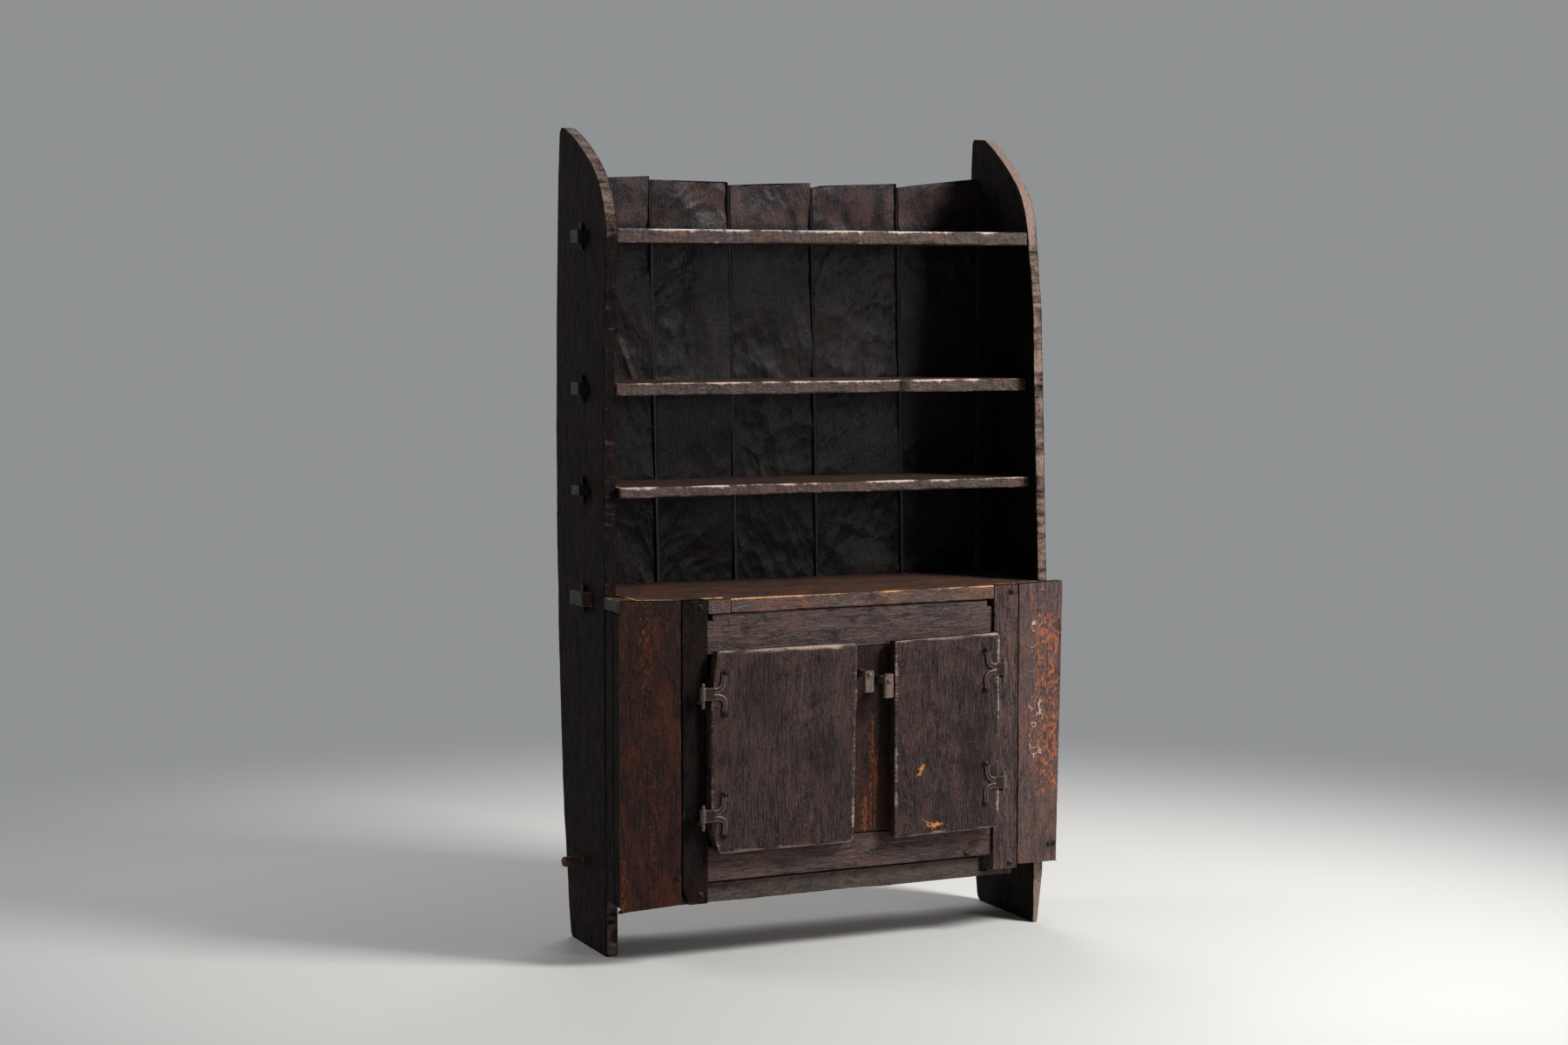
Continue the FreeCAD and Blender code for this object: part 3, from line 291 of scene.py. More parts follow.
def add_piece(name, surfaces, material, body="carcass"):
    """Joins surfaces into one mesh with their attributes, material and body, to stand for its solid."""
    sharp_angle = np.radians(50)
    mesh = bpy.data.meshes.new(name)
    points, polygons, start = [], [], 0
    for surface in surfaces:
        points.append(surface["points"])
        polygons += [[start + corner for corner in face] for face in surface["faces"]]
        start += len(surface["points"])
    mesh.from_pydata(np.concatenate(points).tolist(), [], polygons)
    for key in ("wear", "end", "scuff"):
        values = np.concatenate([surface[key] for surface in surfaces])
        mesh.attributes.new(key, "FLOAT", "POINT").data.foreach_set("value", values.astype(np.float32))
    grain = np.concatenate([surface["grain"] for surface in surfaces]).astype(np.float32)
    mesh.attributes.new("grain", "FLOAT_VECTOR", "POINT").data.foreach_set("vector", grain.ravel())
    mesh.polygons.foreach_set("use_smooth", np.ones(len(mesh.polygons), bool))
    mesh.set_sharp_from_angle(angle=sharp_angle)
    mesh.materials.append(material)
    piece = add_object(name, mesh)
    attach(piece, body)
    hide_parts(name)


def linear(hex_colour):
    """An sRGB hex colour as linear red, green, blue and a full alpha."""
    parts = np.array([int(hex_colour[i : i + 2], 16) for i in (1, 3, 5)]) / 255
    light = np.where(parts <= 0.04045, parts / 12.92, ((parts + 0.055) / 1.055) ** 2.4)
    return (*light.tolist(), 1.0)


def set_inputs(node, inputs):
    """Gives each input its value, or a link from a socket."""
    for key, content in inputs.items():
        if isinstance(content, bpy.types.NodeSocket):
            node.id_data.links.new(content, node.inputs[key])
        else:
            node.inputs[key].default_value = content


def add_node(tree, kind, inputs={}, **settings):
    """Adds a shader node with its settings and its inputs."""
    node = tree.nodes.new("ShaderNode" + kind)
    for key, setting in settings.items():
        setattr(node, key, setting)
    set_inputs(node, inputs)
    return node


def new_material(name):
    """A new material, its node tree and its shader."""
    material = bpy.data.materials.new(name)
    material.use_nodes = True
    return material, material.node_tree, material.node_tree.nodes["Principled BSDF"]


def eased(tree, value, low, high, top):
    """A value eased by a smooth step, from nought at low to top at high."""
    inputs = {"Value": value, "From Min": low, "From Max": high, "To Max": top}
    return add_node(tree, "MapRange", inputs, interpolation_type="SMOOTHSTEP").outputs[0]


def maths(tree, operation, *values, **settings):
    """The result of a sum done on values or sockets."""
    inputs = dict(enumerate(values))
    return add_node(tree, "Math", inputs, operation=operation, **settings).outputs[0]


def noise_node(tree, place, scale, detail, roughness, distortion=0.0):
    """The level of a noise at a place."""
    inputs = {"Vector": place, "Scale": scale, "Detail": detail, "Roughness": roughness}
    return add_node(tree, "TexNoise", {**inputs, "Distortion": distortion}).outputs["Fac"]


def aged_wood(
    name, dark, shade, heart, cloud, drift, bloom, rubbed, bare=None, rub_from=0.45, rough=(0.36, 0.62),
    cut=5, gloss=0.3, figure=(190, 7.5), blotch=(44, 20), grit=0.45, pitting=0.9, tearing=1.5,
):
    """Old hewn wood: a figure along the grain from a shade to a heart colour, drifts and clouds of two
    others, pale bloom on the fibres, soot in blotches and pits, specks, rubbed edges and bare scuffs, each
    by its own noise. Grit is the strength of specks, pitting of relief, tearing of noise in scuffs."""
    material, tree, shader = new_material(name)
    grain = add_node(tree, "Attribute", attribute_name="grain").outputs["Vector"]
    noises = {}
    # Cell sizes along and across the grain in millimetres. Real fibres are a tenth of this width, drawn
    # coarser so that they show.
    for key, along, across, detail, distortion in (
        ("fibre", 40, 1.7, 4, 0.25),
        ("figure", *figure, 5, 1.2),
        ("cloud", 120, 58, 4, 0.8),
        ("drift", 260, 130, 4, 0.9),
        ("blotch", *blotch, 6, 0.6),
        ("fleck", 8, 4.5, 4, 0.3),
        ("cut", cut, 40, 3, 0.1),
    ):
        scale = (1 / (along * MM), 1 / (across * MM), 1 / (across * MM))
        space = add_node(tree, "VectorMath", {0: grain, 1: scale}, operation="MULTIPLY")
        noises[key] = noise_node(tree, space.outputs[0], 1.0, detail, 0.6, distortion)
    masks = {}
    for key, noise, low, high, top in (
        ("figure", "figure", 0.38, 0.62, 1.0),
        ("drift", "drift", 0.44, 0.6, 0.8),
        ("cloud", "cloud", 0.46, 0.62, 0.75),
        ("bloom", "fibre", 0.48, 0.64, 0.6),
        ("soot", "blotch", 0.5, 0.7, 0.65),
        ("speck", "fleck", 0.57, 0.7, grit),
        ("pit", "fleck", 0.44, 0.31, 0.9),
    ):
        masks[key] = eased(tree, noises[noise], low, high, top)
    # Painted marks, broken up by noise. The guard keeps wood clean where almost nothing is painted.
    guard_gain = 6.0
    for key, noise, push, low, high in (
        ("wear", "cut", 0.7, rub_from, rub_from + 0.45),
        ("scuff", "fleck", tearing, 0.3, 0.85),
        ("end", "fleck", 1.0, 0.3, 0.8),
    ):
        painted = add_node(tree, "Attribute", attribute_name=key).outputs["Fac"]
        spread = maths(tree, "MULTIPLY_ADD", noises[noise], push, -0.5 * push)
        guard = maths(tree, "MULTIPLY", painted, guard_gain, use_clamp=True)
        masks[key] = eased(tree, maths(tree, "ADD", painted, spread), low, high, guard)
    colour = linear(shade)
    for mask, paint in (
        ("figure", heart), ("drift", drift), ("cloud", cloud), ("bloom", bloom), ("soot", dark),
        ("speck", bloom), ("wear", rubbed), ("scuff", bare), ("end", dark), ("pit", dark),
    ):
        if paint:
            inputs = {0: masks[mask], 6: colour, 7: linear(paint)}
            colour = add_node(tree, "Mix", inputs, data_type="RGBA").outputs[2]
    inputs = {"Value": noises["blotch"], "From Min": 0.3, "From Max": 0.7}
    sheen = add_node(tree, "MapRange", {**inputs, "To Min": rough[0], "To Max": rough[1]}).outputs[0]
    relief = maths(tree, "MULTIPLY_ADD", noises["fibre"], 0.7, noises["fleck"])
    bump = add_node(tree, "Bump", {"Height": relief, "Strength": pitting, "Distance": 2.5 * MM}).outputs[0]
    set_inputs(shader, {"Base Color": colour, "Roughness": sheen, "Normal": bump})
    set_inputs(shader, {"IOR": 1.45, "Specular IOR Level": gloss})
    return material


# Smoke-blackened oak: soot and wax leave it near black with a dull sheen, and brown where hands rub.
blackened_oak = aged_wood(
    "blackened_oak", dark="#050404", shade="#0e0b0a", heart="#181210", cloud="#201411", drift="#121010",
    bloom="#261f1d", rubbed="#7f6b60", rub_from=0.32, rough=(0.5, 0.75), cut=12, gloss=0.04,
)
# Heights in metres where the curve, its tip and its paler crown begin and the paler foot ends.
curve_from, tip_from, crown_from, foot_to = 1.45, 1.76, 1.58, 0.2
crown_blend, foot_blend = 0.08, 0.05
for name, facing, seed, edge_rub in (
    ("side_left", -RIGHT, 1, (0.46, 0)),
    # The right board's front edge is painted paler than the left's: partly wear, partly a painted
    # highlight.
    ("side_right", RIGHT, 2, (0, 0.86)),
):
    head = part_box(name)[1].z
    surface = hewn_board(
        name, UP, facing, 6, seed, (curve_from, head, 3.5), (tip_from, head, 1.6), scoop=(110, 60, 1.8),
        nick=(15, 2), wave=(220, 3), points=(42, 6, 4), rub=0.3, edge_rub=edge_rub,
    )
    height = surface["points"][:, 2]
    crown = np.clip((height - crown_from) / crown_blend, 0, 1)
    foot = np.clip((foot_to - height) / foot_blend, 0, 1)
    # Crown and foot are painted paler through the wear: partly rubbed wood, partly a painted highlight.
    surface["wear"] = surface["wear"] * (1 + 0.8 * crown + 0.5 * foot)
    add_piece(name, [surface], blackened_oak)
outer_left, inner_left = (corner.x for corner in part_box("side_left"))
inner_right, outer_right = (corner.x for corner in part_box("side_right"))

# Open shelves: three thick hewn boards between the sides, with a tenon at each end that passes through
# the side board. Their front edges are cut across with a knife-like tool and painted pale along the top,
# partly as wear and partly as a painted highlight.
# Shelf oak: warm dark brown with a soft sheen, and pale grey-pink along the edge: partly wear, partly a
# painted highlight.
shelf_oak = aged_wood(
    "shelf_oak", dark="#0f0a09", shade="#271a16", heart="#3e2b25", cloud="#4a2e22", drift="#322622",
    bloom="#5e4c44", rubbed="#c8b0a2", rub_from=0.3, cut=11,
)
# The rub, strongest on the top front edge, is partly wear and partly a painted highlight.
shelf_board = dict(
    rounding=6, nick=(13, 3), wave=(130, 4), points=(34, 8, 5), chip=9, rub=(0.45, 0, 0, 1), rub_reach=18,
)
shelf_tenon = dict(rounding=3, wave=(60, 1), points=(10, 5, 3))


def bell(places, middle, half, power=2):
    """A bell of height 1: e to minus a power of the distance from its middle, counted in halves."""
    return np.exp(-(((places - middle) / half) ** power))


def bite(stations):
    """Depth of a bite out of the middle shelf's front edge: a bell two thirds of the way along it."""
    deepest = 11 * MM
    return deepest * bell((stations - inner_left) / (inner_right - inner_left), 0.68, 0.012)


for name, seed, trim in (("shelf_top", 11, None), ("shelf_middle", 12, bite), ("shelf_lower", 13, None)):
    tip_left, tip_right = (corner.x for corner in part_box(name))
    surfaces = []
    for span, step, marks in (
        ((inner_left, inner_right), 2.4, shelf_board),
        ((tip_left, inner_left), 4, shelf_tenon),
        ((inner_right, tip_right), 4, shelf_tenon),
    ):
        surfaces.append(hewn_board(name, RIGHT, UP, step, seed, span=span, trim=trim, **marks))
    # The tenons that stand out of the side boards are darkened all over with the end-grain colour.
    for tenon in surfaces[1:]:
        tenon["end"][:] = 1
    add_piece(name, surfaces, shelf_oak)

# Counter: one broad hewn board over the cupboard. Its tongue fills the front between the posts, its ear
# laps the left side board, and its front edge is rubbed through to the orange wood.
# Counter oak: a redder brown than the shelves, with orange wood along the rubbed edge.
counter_oak = aged_wood(
    "counter_oak", dark="#140b09", shade="#321f19", heart="#4a3128", cloud="#5f3725", drift="#382a26",
    bloom="#6a564c", rubbed="#cf9764", rub_from=0.34, cut=14,
)
tip_left, tip_right = (corner.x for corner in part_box("counter"))
tenon_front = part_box("side_left")[0].y + 30 * MM
ear_left = outer_left - 4 * MM
plain_tenon = dict(window=(tenon_front, FAR), rounding=3, wave=(60, 1), points=(12, 5, 3))
rough_ear = dict(
    window=(-FAR, tenon_front), rounding=7, scoop=(16, 12, 3), nick=(9, 3), wave=(20, 5),
    points=(24, 8, 5), chip=8,
)
surfaces = [hewn_board(
    "counter", RIGHT, UP, 4, 21, span=(inner_left, inner_right), kinked=True, scoop=(120, 70, 1.2),
    nick=(26, 1.4), wave=(260, 1.5), points=(46, 7, 5), rub=(0.2, 0, 0, 1.3), rub_reach=8,
    edge_rub=(0.4, 0),
)]
for span, marks in (
    ((tip_left, inner_left), plain_tenon),
    ((inner_right, tip_right), plain_tenon),
    ((ear_left, inner_left), rough_ear),
):
    surfaces.append(hewn_board("counter", RIGHT, UP, 2, 22, span=span, **marks))
add_piece("counter", surfaces, counter_oak)


# Patch: a small oak block let into the counter's front edge beside the left post. It is worn a little
# lower than the counter, and sits tight in its notch.
def joint_row(name, key):
    """What the frame says of a joint, its axis or its place, as an array."""
    return np.array(next(joint[key] for joint in frame["joints"] if joint["name"] == name))


BAY_BACK = joint_row("left_latch_turn", "axis")
BAY = np.cross(BAY_BACK, UP)
surface = hewn_board(
    "counter_patch", BAY, UP, 2, 23, rounding=2.5, scoop=(20, 14, 0.8), nick=(12, 1.5), wave=(40, 1),
    points=(14, 8, 4), rub=0.4,
)
add_piece("counter_patch", [surface], shelf_oak)


# Floor board: the cupboard's bottom, one hewn board with a whittled peg at each end that passes through
# the side boards and stands out like a thumb.
def turned_surface(foot, axis, radii, heights, seed, around=24, whittle=0.3, tube=False):
    """A round piece: rings of the given radii at the given heights up an axis, each radius shaved by noise
    round it and along it. A tube's last ring joins its first; any other piece ends in two flat caps."""
    shave_run, shave_turns, all_over_wear = 12 * MM, 1.6, 0.35
    side = np.cross(axis, RIGHT if abs(axis @ RIGHT) < 0.9 else UP)
    side = side / np.linalg.norm(side)
    other = np.cross(axis, side)
    angles = np.linspace(0, 2 * np.pi, around, endpoint=False)
    ring = np.stack((np.cos(angles), np.sin(angles)), axis=-1)
    radii, heights = np.asarray(radii) * MM, np.asarray(heights) * MM
    up = np.repeat(heights[:, None], around, axis=1)
    turns = np.broadcast_to(shave_turns * ring, (*up.shape, 2))
    spots = np.concatenate((up[..., None] / shave_run, turns), axis=-1)
    shaved = radii[:, None] - whittle * MM * (0.5 + 0.5 * soft_noise(spots, seed))
    points = foot + up[..., None] * axis + shaved[..., None] * (ring[:, :1] * side + ring[:, 1:] * other)
    count = len(radii)
    index = np.arange(count * around).reshape(count, around)
    below, above = (index, np.roll(index, -1, axis=0)) if tube else (index[:-1], index[1:])
    turn = lambda rows: np.roll(rows, -1, axis=1)
    faces = np.stack((below, turn(below), turn(above), above), axis=-1).reshape(-1, 4).tolist()
    ends = np.zeros((count, around))
    if not tube:
        faces += [index[0][::-1].tolist(), index[-1].tolist()]
        ends[0] = ends[-1] = 1
    return dict(
        points=points.reshape(-1, 3),
        faces=faces,
        grain=np.stack((up, points @ side, points @ other), axis=-1).reshape(-1, 3) + 0.37 * seed,
        wear=np.full(count * around, all_over_wear),
        end=ends.ravel(),
        scuff=np.zeros(count * around),
    )


strip_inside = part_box("return_strip_back")[1].x
surfaces = []
for span, window in (
    ((inner_left, inner_right), (-FAR, FAR)),
    ((strip_inside, inner_left), (-FAR, tenon_front)),
):
    marks = dict(window=window, rounding=1, scoop=(60, 42, 0.2), points=(24, 4, 3))
    surfaces.append(hewn_board("floor_board", RIGHT, UP, 8, 24, span=span, **marks))
floor_low, floor_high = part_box("floor_board")
peg_ring = solid_edges("floor_board", board_axes("floor_board", RIGHT, UP))[0]
peg_ring = peg_ring[peg_ring[:, 0] > outer_right]
peg_middle = (peg_ring.min(0) + peg_ring.max(0)) / 2 * (0, 1, 1)
# Radii of a peg at its foot and near its tip, the rounding of the tip, and how deep the foot is sunk.
peg_foot, peg_tip, peg_round, peg_sunk = 12.8, 12.2, 6, 5 * MM
dome = np.radians((30, 60, 80, 90))
for foot, tip in ((inner_left + peg_sunk, floor_low.x), (inner_right - peg_sunk, floor_high.x)):
    straight = abs(tip - foot) / MM - peg_round
    axis = RIGHT * np.sign(tip - foot)
    heights = np.append(np.linspace(0, straight, 12), straight + peg_round * np.sin(dome))
    radii = np.append(np.linspace(peg_foot, peg_tip, 12), peg_tip - peg_round + peg_round * np.cos(dome))
    surfaces.append(turned_surface(peg_middle + foot * RIGHT, axis, radii, heights, 25, whittle=1.2))
add_piece("floor_board", surfaces, counter_oak)


# Wedges: tapered slips of black oak driven down through the tenons outside the side boards. They draw
# the boards tight, and can be knocked out again.
def block_limits(stations, *rows):
    """Limits of a plain block: its low and high places across and through, with no skew."""
    return np.array([np.broadcast_to(row, stations.shape) for row in (*rows, 0, 0)])


half_long, half_wide, foot_thick, head_swell = 31 * MM, 8 * MM, 7, 2
surfaces = []
wedge_low, wedge_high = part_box("tusk_wedges")
wedge_line = (wedge_low.y + wedge_high.y) / 2
for number, name in enumerate(("shelf_top", "shelf_middle", "shelf_lower", "counter")):
    board_low, board_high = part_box(name)
    middle = (board_low.z + board_high.z) / 2
    for face, way in ((outer_left, -1), (outer_right, 1)):
        axes = np.array((UP, np.cross(RIGHT * way, UP), RIGHT * way))
        stations = spaced(middle - half_long, middle + half_long, 2.5)
        share = (stations - stations[0]) / (stations[-1] - stations[0])
        across, inside = wedge_line * axes[1][1], face * way
        outside = inside + (foot_thick + head_swell * share) * MM
        limits = block_limits(stations, across - half_wide, across + half_wide, inside, outside)
        marks = dict(rounding=1.5, wave=(30, 1), points=(8, 4, 3))
        surfaces.append(hewn_surface(axes, stations, limits, 30 + number, **marks))
add_piece("tusk_wedges", surfaces, blackened_oak)

# Back planks: five upright boards with gaps between them, dressed with an adze that left shallow bowls
# all over, nailed to the back edges of the shelves. Their sawn tops stand above the top shelf.
# Adzed oak: a cold near-black that shines on the rims of its bowls, and reddish clouds at the top. The
# rims are also painted paler, partly as wear on the high spots and partly as a painted highlight.
adzed_oak = aged_wood(
    "adzed_oak", dark="#060505", shade="#0d0a0b", heart="#161213", cloud="#261613", drift="#121012",
    bloom="#1f1b1e", rubbed="#38302f", bare="#43302f", rub_from=0.4, rough=(0.2, 0.3), gloss=0.15,
    grit=0.25, pitting=0.5, tearing=0.7,
)


def red_head(local):
    """Redder, paler wood in the part of a plank that stands above the top shelf, in noise-bound clouds."""
    red_from, blend = 1.62, 0.03
    cloud = 0.52 + 0.24 * soft_noise(local / (np.array((45, 28, 28)) * MM), 41)
    return np.clip(cloud, 0, 0.75) * np.clip((local[..., 0] - red_from) / blend, 0, 1)


for number, slant in enumerate((26, -38, 18, -24, 32), 1):
    name = f"back_plank_{number}"
    surface = hewn_board(
        name, UP, FRONT, 4, 40 + number, rounding=1.2, scoop=(85, 46, 9), slant=slant, nick=(18, 0.4),
        wave=(240, 0.6), points=(56, 3, 3), chip=1, rub=0.2, scuff=red_head,
    )
    add_piece(name, [surface], adzed_oak)

# Return strips: two rough uprights of the same black oak, set between the left side board and the left
# corner board to close that side of the bay.
for number, name in enumerate(("return_strip_front", "return_strip_back")):
    surface = hewn_board(name, UP, -RIGHT, 6, 50 + number, rounding=3, points=(12, 5, 3), rub=0.3)
    add_piece(name, [surface], blackened_oak)

# Corner boards: red-brown boards canted back from the posts and nailed to the floor board. Hands have
# rubbed them, most the right one, where the dark skin has flaked off the orange wood below.
# Waxed corner oak: a deep red-brown with a low polish and glowing streaks.
waxed_corner_oak = aged_wood(
    "waxed_corner_oak", dark="#0a0403", shade="#160907", heart="#31160f", cloud="#4a1e0f", drift="#190c09",
    bloom="#472c22", rubbed="#94705f", bare="#8c4823", rub_from=0.5, gloss=0.18,
)
# Flaked corner oak: a grey-brown skin with torn patches of orange wood, and curls painted pale: partly
# broken skin, partly a painted highlight.
flaked_corner_oak = aged_wood(
    "flaked_corner_oak", dark="#170e0d", shade="#2b1e1c", heart="#493633", cloud="#57362b", drift="#3c3031",
    bloom="#6d5a54", rubbed="#a98c7f", bare="#96522e", rub_from=0.5, gloss=0.22,
)


def shares(local):
    """How far up and how far across its board each place lies, from 0 to 1."""
    low, high = (edge(local.reshape(-1, 3), axis=0) for edge in (np.min, np.max))
    return np.moveaxis((local - low) / (high - low), -1, 0)[:2]


def flaked_band(local):
    """Bare wood down the outer two thirds of a board, from a seventh to nine tenths of its height: a bell
    across it, torn by coarse noise and netted by finer, with a thin line along the outer edge."""
    height, place = shares(local)
    torn = soft_noise(local / (30 * MM), 61)
    reach = np.clip(6 * (height - 0.12), 0, 1) * np.clip(14 * (0.94 - height), 0, 1)
    net = 0.42 + 0.34 * soft_noise(local / (9 * MM), 62)
    edge_line = 0.6 * np.exp(-place / 0.03) * np.clip(14 * (0.98 - height), 0, 1)
    band = bell(place, 0.34, 0.3, 4)
    return np.clip(1.25 * band + 0.75 * torn * band - 0.1, 0, 1) * net * reach + edge_line


def lifted_skin(local):
    """Curls of lifted skin from 0 to 1: ridges where a noise and its finer copy pass their middle level,
    within a bell down the inner half of the board, in patches. Gives the ridges and the band."""
    height, place = shares(local)
    level = np.abs(soft_noise(local / (15 * MM), 64) + 0.5 * soft_noise(local / (9 * MM), 67))
    patch = np.clip(0.8 + 0.8 * soft_noise(local / (38 * MM), 69), 0.45, 1)
    band = bell(place, 0.6, 0.2, 4) * np.clip(8 * (height - 0.1), 0, 1) * patch
    return np.clip(1.35 - level / 0.17, 0, 1), band


def glowing_streaks(local):
    """Rubbed streaks along the grain: long thin noise, strongest at the board's outer edge."""
    streak = soft_noise(local / (np.array((190, 20, 20)) * MM), 63)
    return np.clip(0.4 * streak + 0.15 * shares(local)[1], 0, 0.45)


curl_deep, front_from, front_blend = 1.8 * MM, 9 * MM, 5 * MM
for number, (name, material, rub, bare_wood, across_count, step) in enumerate((
    ("corner_board_left", waxed_corner_oak, (0.2, 0.2, 0.7, 0.3), glowing_streaks, 36, 3.5),
    ("corner_board_right", flaked_corner_oak, (0.2, 0.2, 0.2, 0.9), flaked_band, 84, 2),
)):
    surface = hewn_board(
        name, UP, FRONT, step, 60 + number, mitred=True, rounding=2.5, scoop=(120, 60, 1.2), nick=(20, 1.2),
        wave=(150, 1.5), points=(across_count, 6, 4), chip=6, rub=rub, scuff=bare_wood,
    )
    if bare_wood is flaked_band:
        # Round the curls the skin has gone, so the wood between them lies lower. The curls are painted
        # pale, partly as broken skin and partly as a painted highlight.
        axes = board_axes(name, UP, FRONT)
        local = surface["points"] @ axes.T
        ridge, band = lifted_skin(local)
        band = band * np.clip((local[:, 2] - local[:, 2].max() + front_from) / front_blend, 0, 1)
        surface["points"] = surface["points"] - (curl_deep * band * (1 - ridge))[:, None] * axes[2]
        surface["wear"] = np.maximum(surface["wear"], 0.95 * ridge * band)
    add_piece(name, [surface], material)

# Posts: two narrow dark uprights beside the doors, nailed to the counter's edge and to the apron, with
# the hinge pins driven through them.
# Waxed frame oak: grey-brown with a low sheen, streaked by a paler grain.
frame_oak = aged_wood(
    "waxed_frame_oak", dark="#0d0909", shade="#211817", heart="#463634", cloud="#4a332d", drift="#2f2524",
    bloom="#65554f", rubbed="#a99891", rub_from=0.55, gloss=0.18,
)
# The left post takes the near-black oak of the side boards, so it is far darker than the right one.
for number, (name, material) in enumerate((("post_left", blackened_oak), ("post_right", frame_oak))):
    surface = hewn_board(
        name, UP, FRONT, 4, 70 + number, rounding=2, scoop=(90, 40, 1.2), nick=(20, 1), wave=(140, 1.5),
        points=(18, 5, 4), rub=0.6,
    )
    add_piece(name, [surface], material)

# Rails, muntin and apron: the sawn frame round the door openings, set back from the posts. The top rail
# has broken corners, the muntin is rubbed in streaks, and the apron below is raw and chipped.
# Sooty frame oak: dark, dull brown with rusty streaks where it is rubbed bare.
sooty_oak = aged_wood(
    "sooty_frame_oak", dark="#0c0808", shade="#181110", heart="#281c1a", cloud="#371f18", drift="#1d1514",
    bloom="#372b28", rubbed="#7d6b62", bare="#6e3a1f", rub_from=0.55, gloss=0.12,
)
# Raw apron oak: a dry, matt brown that no wax has darkened.
raw_oak = aged_wood(
    "raw_apron_oak", dark="#17110e", shade="#2b221d", heart="#42362f", cloud="#4a3a2e", drift="#382f2b",
    bloom="#5e5149", rubbed="#9c8877", rough=(0.6, 0.85),
)


def lower_streaks(local):
    """Bare streaks along the grain in the lower two thirds of an upright, in a bell round its middle."""
    height, place = shares(local)
    streak = soft_noise(local / (np.array((100, 5, 5)) * MM), 68)
    streak = np.clip(0.16 + 0.95 * streak, 0, 0.65)
    return streak * bell(place, 0.55, 0.24, 4) * np.clip(2.6 - 3.2 * height, 0, 1)


for number, (name, along, material, wave, across_count, bare_wood) in enumerate((
    ("rail_top", BAY, frame_oak, (170, 1.5), 24, None),
    ("rail_bottom", BAY, frame_oak, (170, 1.5), 24, None),
    ("muntin", UP, sooty_oak, (170, 1.5), 72, lower_streaks),
    ("apron", BAY, raw_oak, (90, 5, 0), 24, None),
)):
    surface = hewn_board(
        name, along, FRONT, 4, 80 + number, kinked=True, rounding=(2, 0.6, 2, 2), scoop=(120, 60, 0.8),
        nick=(16, 0.6), wave=wave, points=(across_count, 5, 3), rub=0.5, scuff=bare_wood,
    )
    add_piece(name, [surface], material)

# Doors: thick boards laid over the frame and hung on iron straps, with all their front edges worn round
# and painted pale, partly as wear and partly as a painted highlight. The left one has lost both its hinge
# corners, the right one has two fresh scuffs.
# Dry door oak: dull grey-brown, mottled and specked, with sooty smudges.
door_oak = aged_wood(
    "dry_door_oak", dark="#0b0707", shade="#1b1312", heart="#2b2020", cloud="#3c2a25", drift="#221b1c",
    bloom="#574644", rubbed="#a48f80", bare="#b8743c", rub_from=0.32, rough=(0.42, 0.66), gloss=0.14,
    figure=(150, 16), blotch=(34, 26), grit=0.7,
)


def two_scuffs(local):
    """Two bare spots on the right door, measured in millimetres from its free edge and its foot: one leans,
    one is hooked like a tick, and fine noise tears them both."""
    upper_place, upper_height, hook_low = 68, 152, 92
    place = (local[..., 1].max() - local[..., 1]) / MM
    height = (local[..., 0] - local[..., 0].min()) / MM
    torn = 7 * soft_noise(local / (6 * MM), 65)
    lean = place - upper_place - 0.45 * (height - upper_height)
    upper = bell(lean + torn, 0, 8) * bell(height + torn, upper_height, 17)
    hook = np.where(place < hook_low, 40 - 1.1 * (place - 74), 20 + 0.1 * (place - hook_low))
    lower = bell(height + torn, hook, 6) * bell(place + torn, 102, 26, 4)
    return np.clip(upper + lower, 0, 1)


smudge_size, soot_height = np.array((110, 70, 70)) * MM, 0.45
for number, (name, body, rub, bare_wood) in enumerate((
    ("door_left", "left_door", (0, 0, 0.9, 1.0), None),
    ("door_right", "right_door", (0, 0, 1.0, 1.0), two_scuffs),
)):
    low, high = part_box(name)
    # The rub pales the front edges and the ends: partly wear, partly a painted highlight.
    surface = hewn_board(
        name, UP, FRONT, 3, 90 + number, span=(low.z, high.z), rounding=(1.5, 1.5, 7, 7),
        scoop=(150, 80, 0.8), nick=(30, 0.6), wave=(180, 1.2), points=(80, 7, 6), chip=2, rub=rub,
        rub_reach=11, rub_break=0.25, scuff=bare_wood,
    )
    # The end mask darkens the door in smudges, most round the middle, but not where its edges are worn.
    smudge = soft_noise(surface["grain"] / smudge_size, 66)
    away = np.abs((surface["points"][:, 2] - low.z) / (high.z - low.z) - soot_height)
    soot = np.clip(0.12 + 0.4 * smudge + 0.16 * np.clip(1.3 - 2.88 * away, 0, 1), 0, 0.5)
    surface["end"] = soot * np.clip(1 - 1.5 * surface["wear"], 0, 1)
    add_piece(name, [surface], door_oak, body)

# Hinges: forged iron straps on the doors, each rolled round its pin and split into two curled arms with
# round nailed tips. The pins stand on spikes driven through the posts.
# Forged iron: brown-black and dented, with a dull metal shine, and its edges painted pale: partly rubbed
# metal, partly a painted highlight.
forged_iron, tree, shader = new_material("forged_iron")
place = add_node(tree, "TexCoord").outputs["Object"]
dents = noise_node(tree, place, 1 / (7 * MM), 3.0, 0.5)
rust = noise_node(tree, place, 1 / (16 * MM), 6.0, 0.7)
ramp = add_node(tree, "ValToRGB", {"Fac": rust})
for stop, position, paint in zip(ramp.color_ramp.elements, (0.36, 0.68), ("#150f0e", "#35281f")):
    stop.position, stop.color = position, linear(paint)
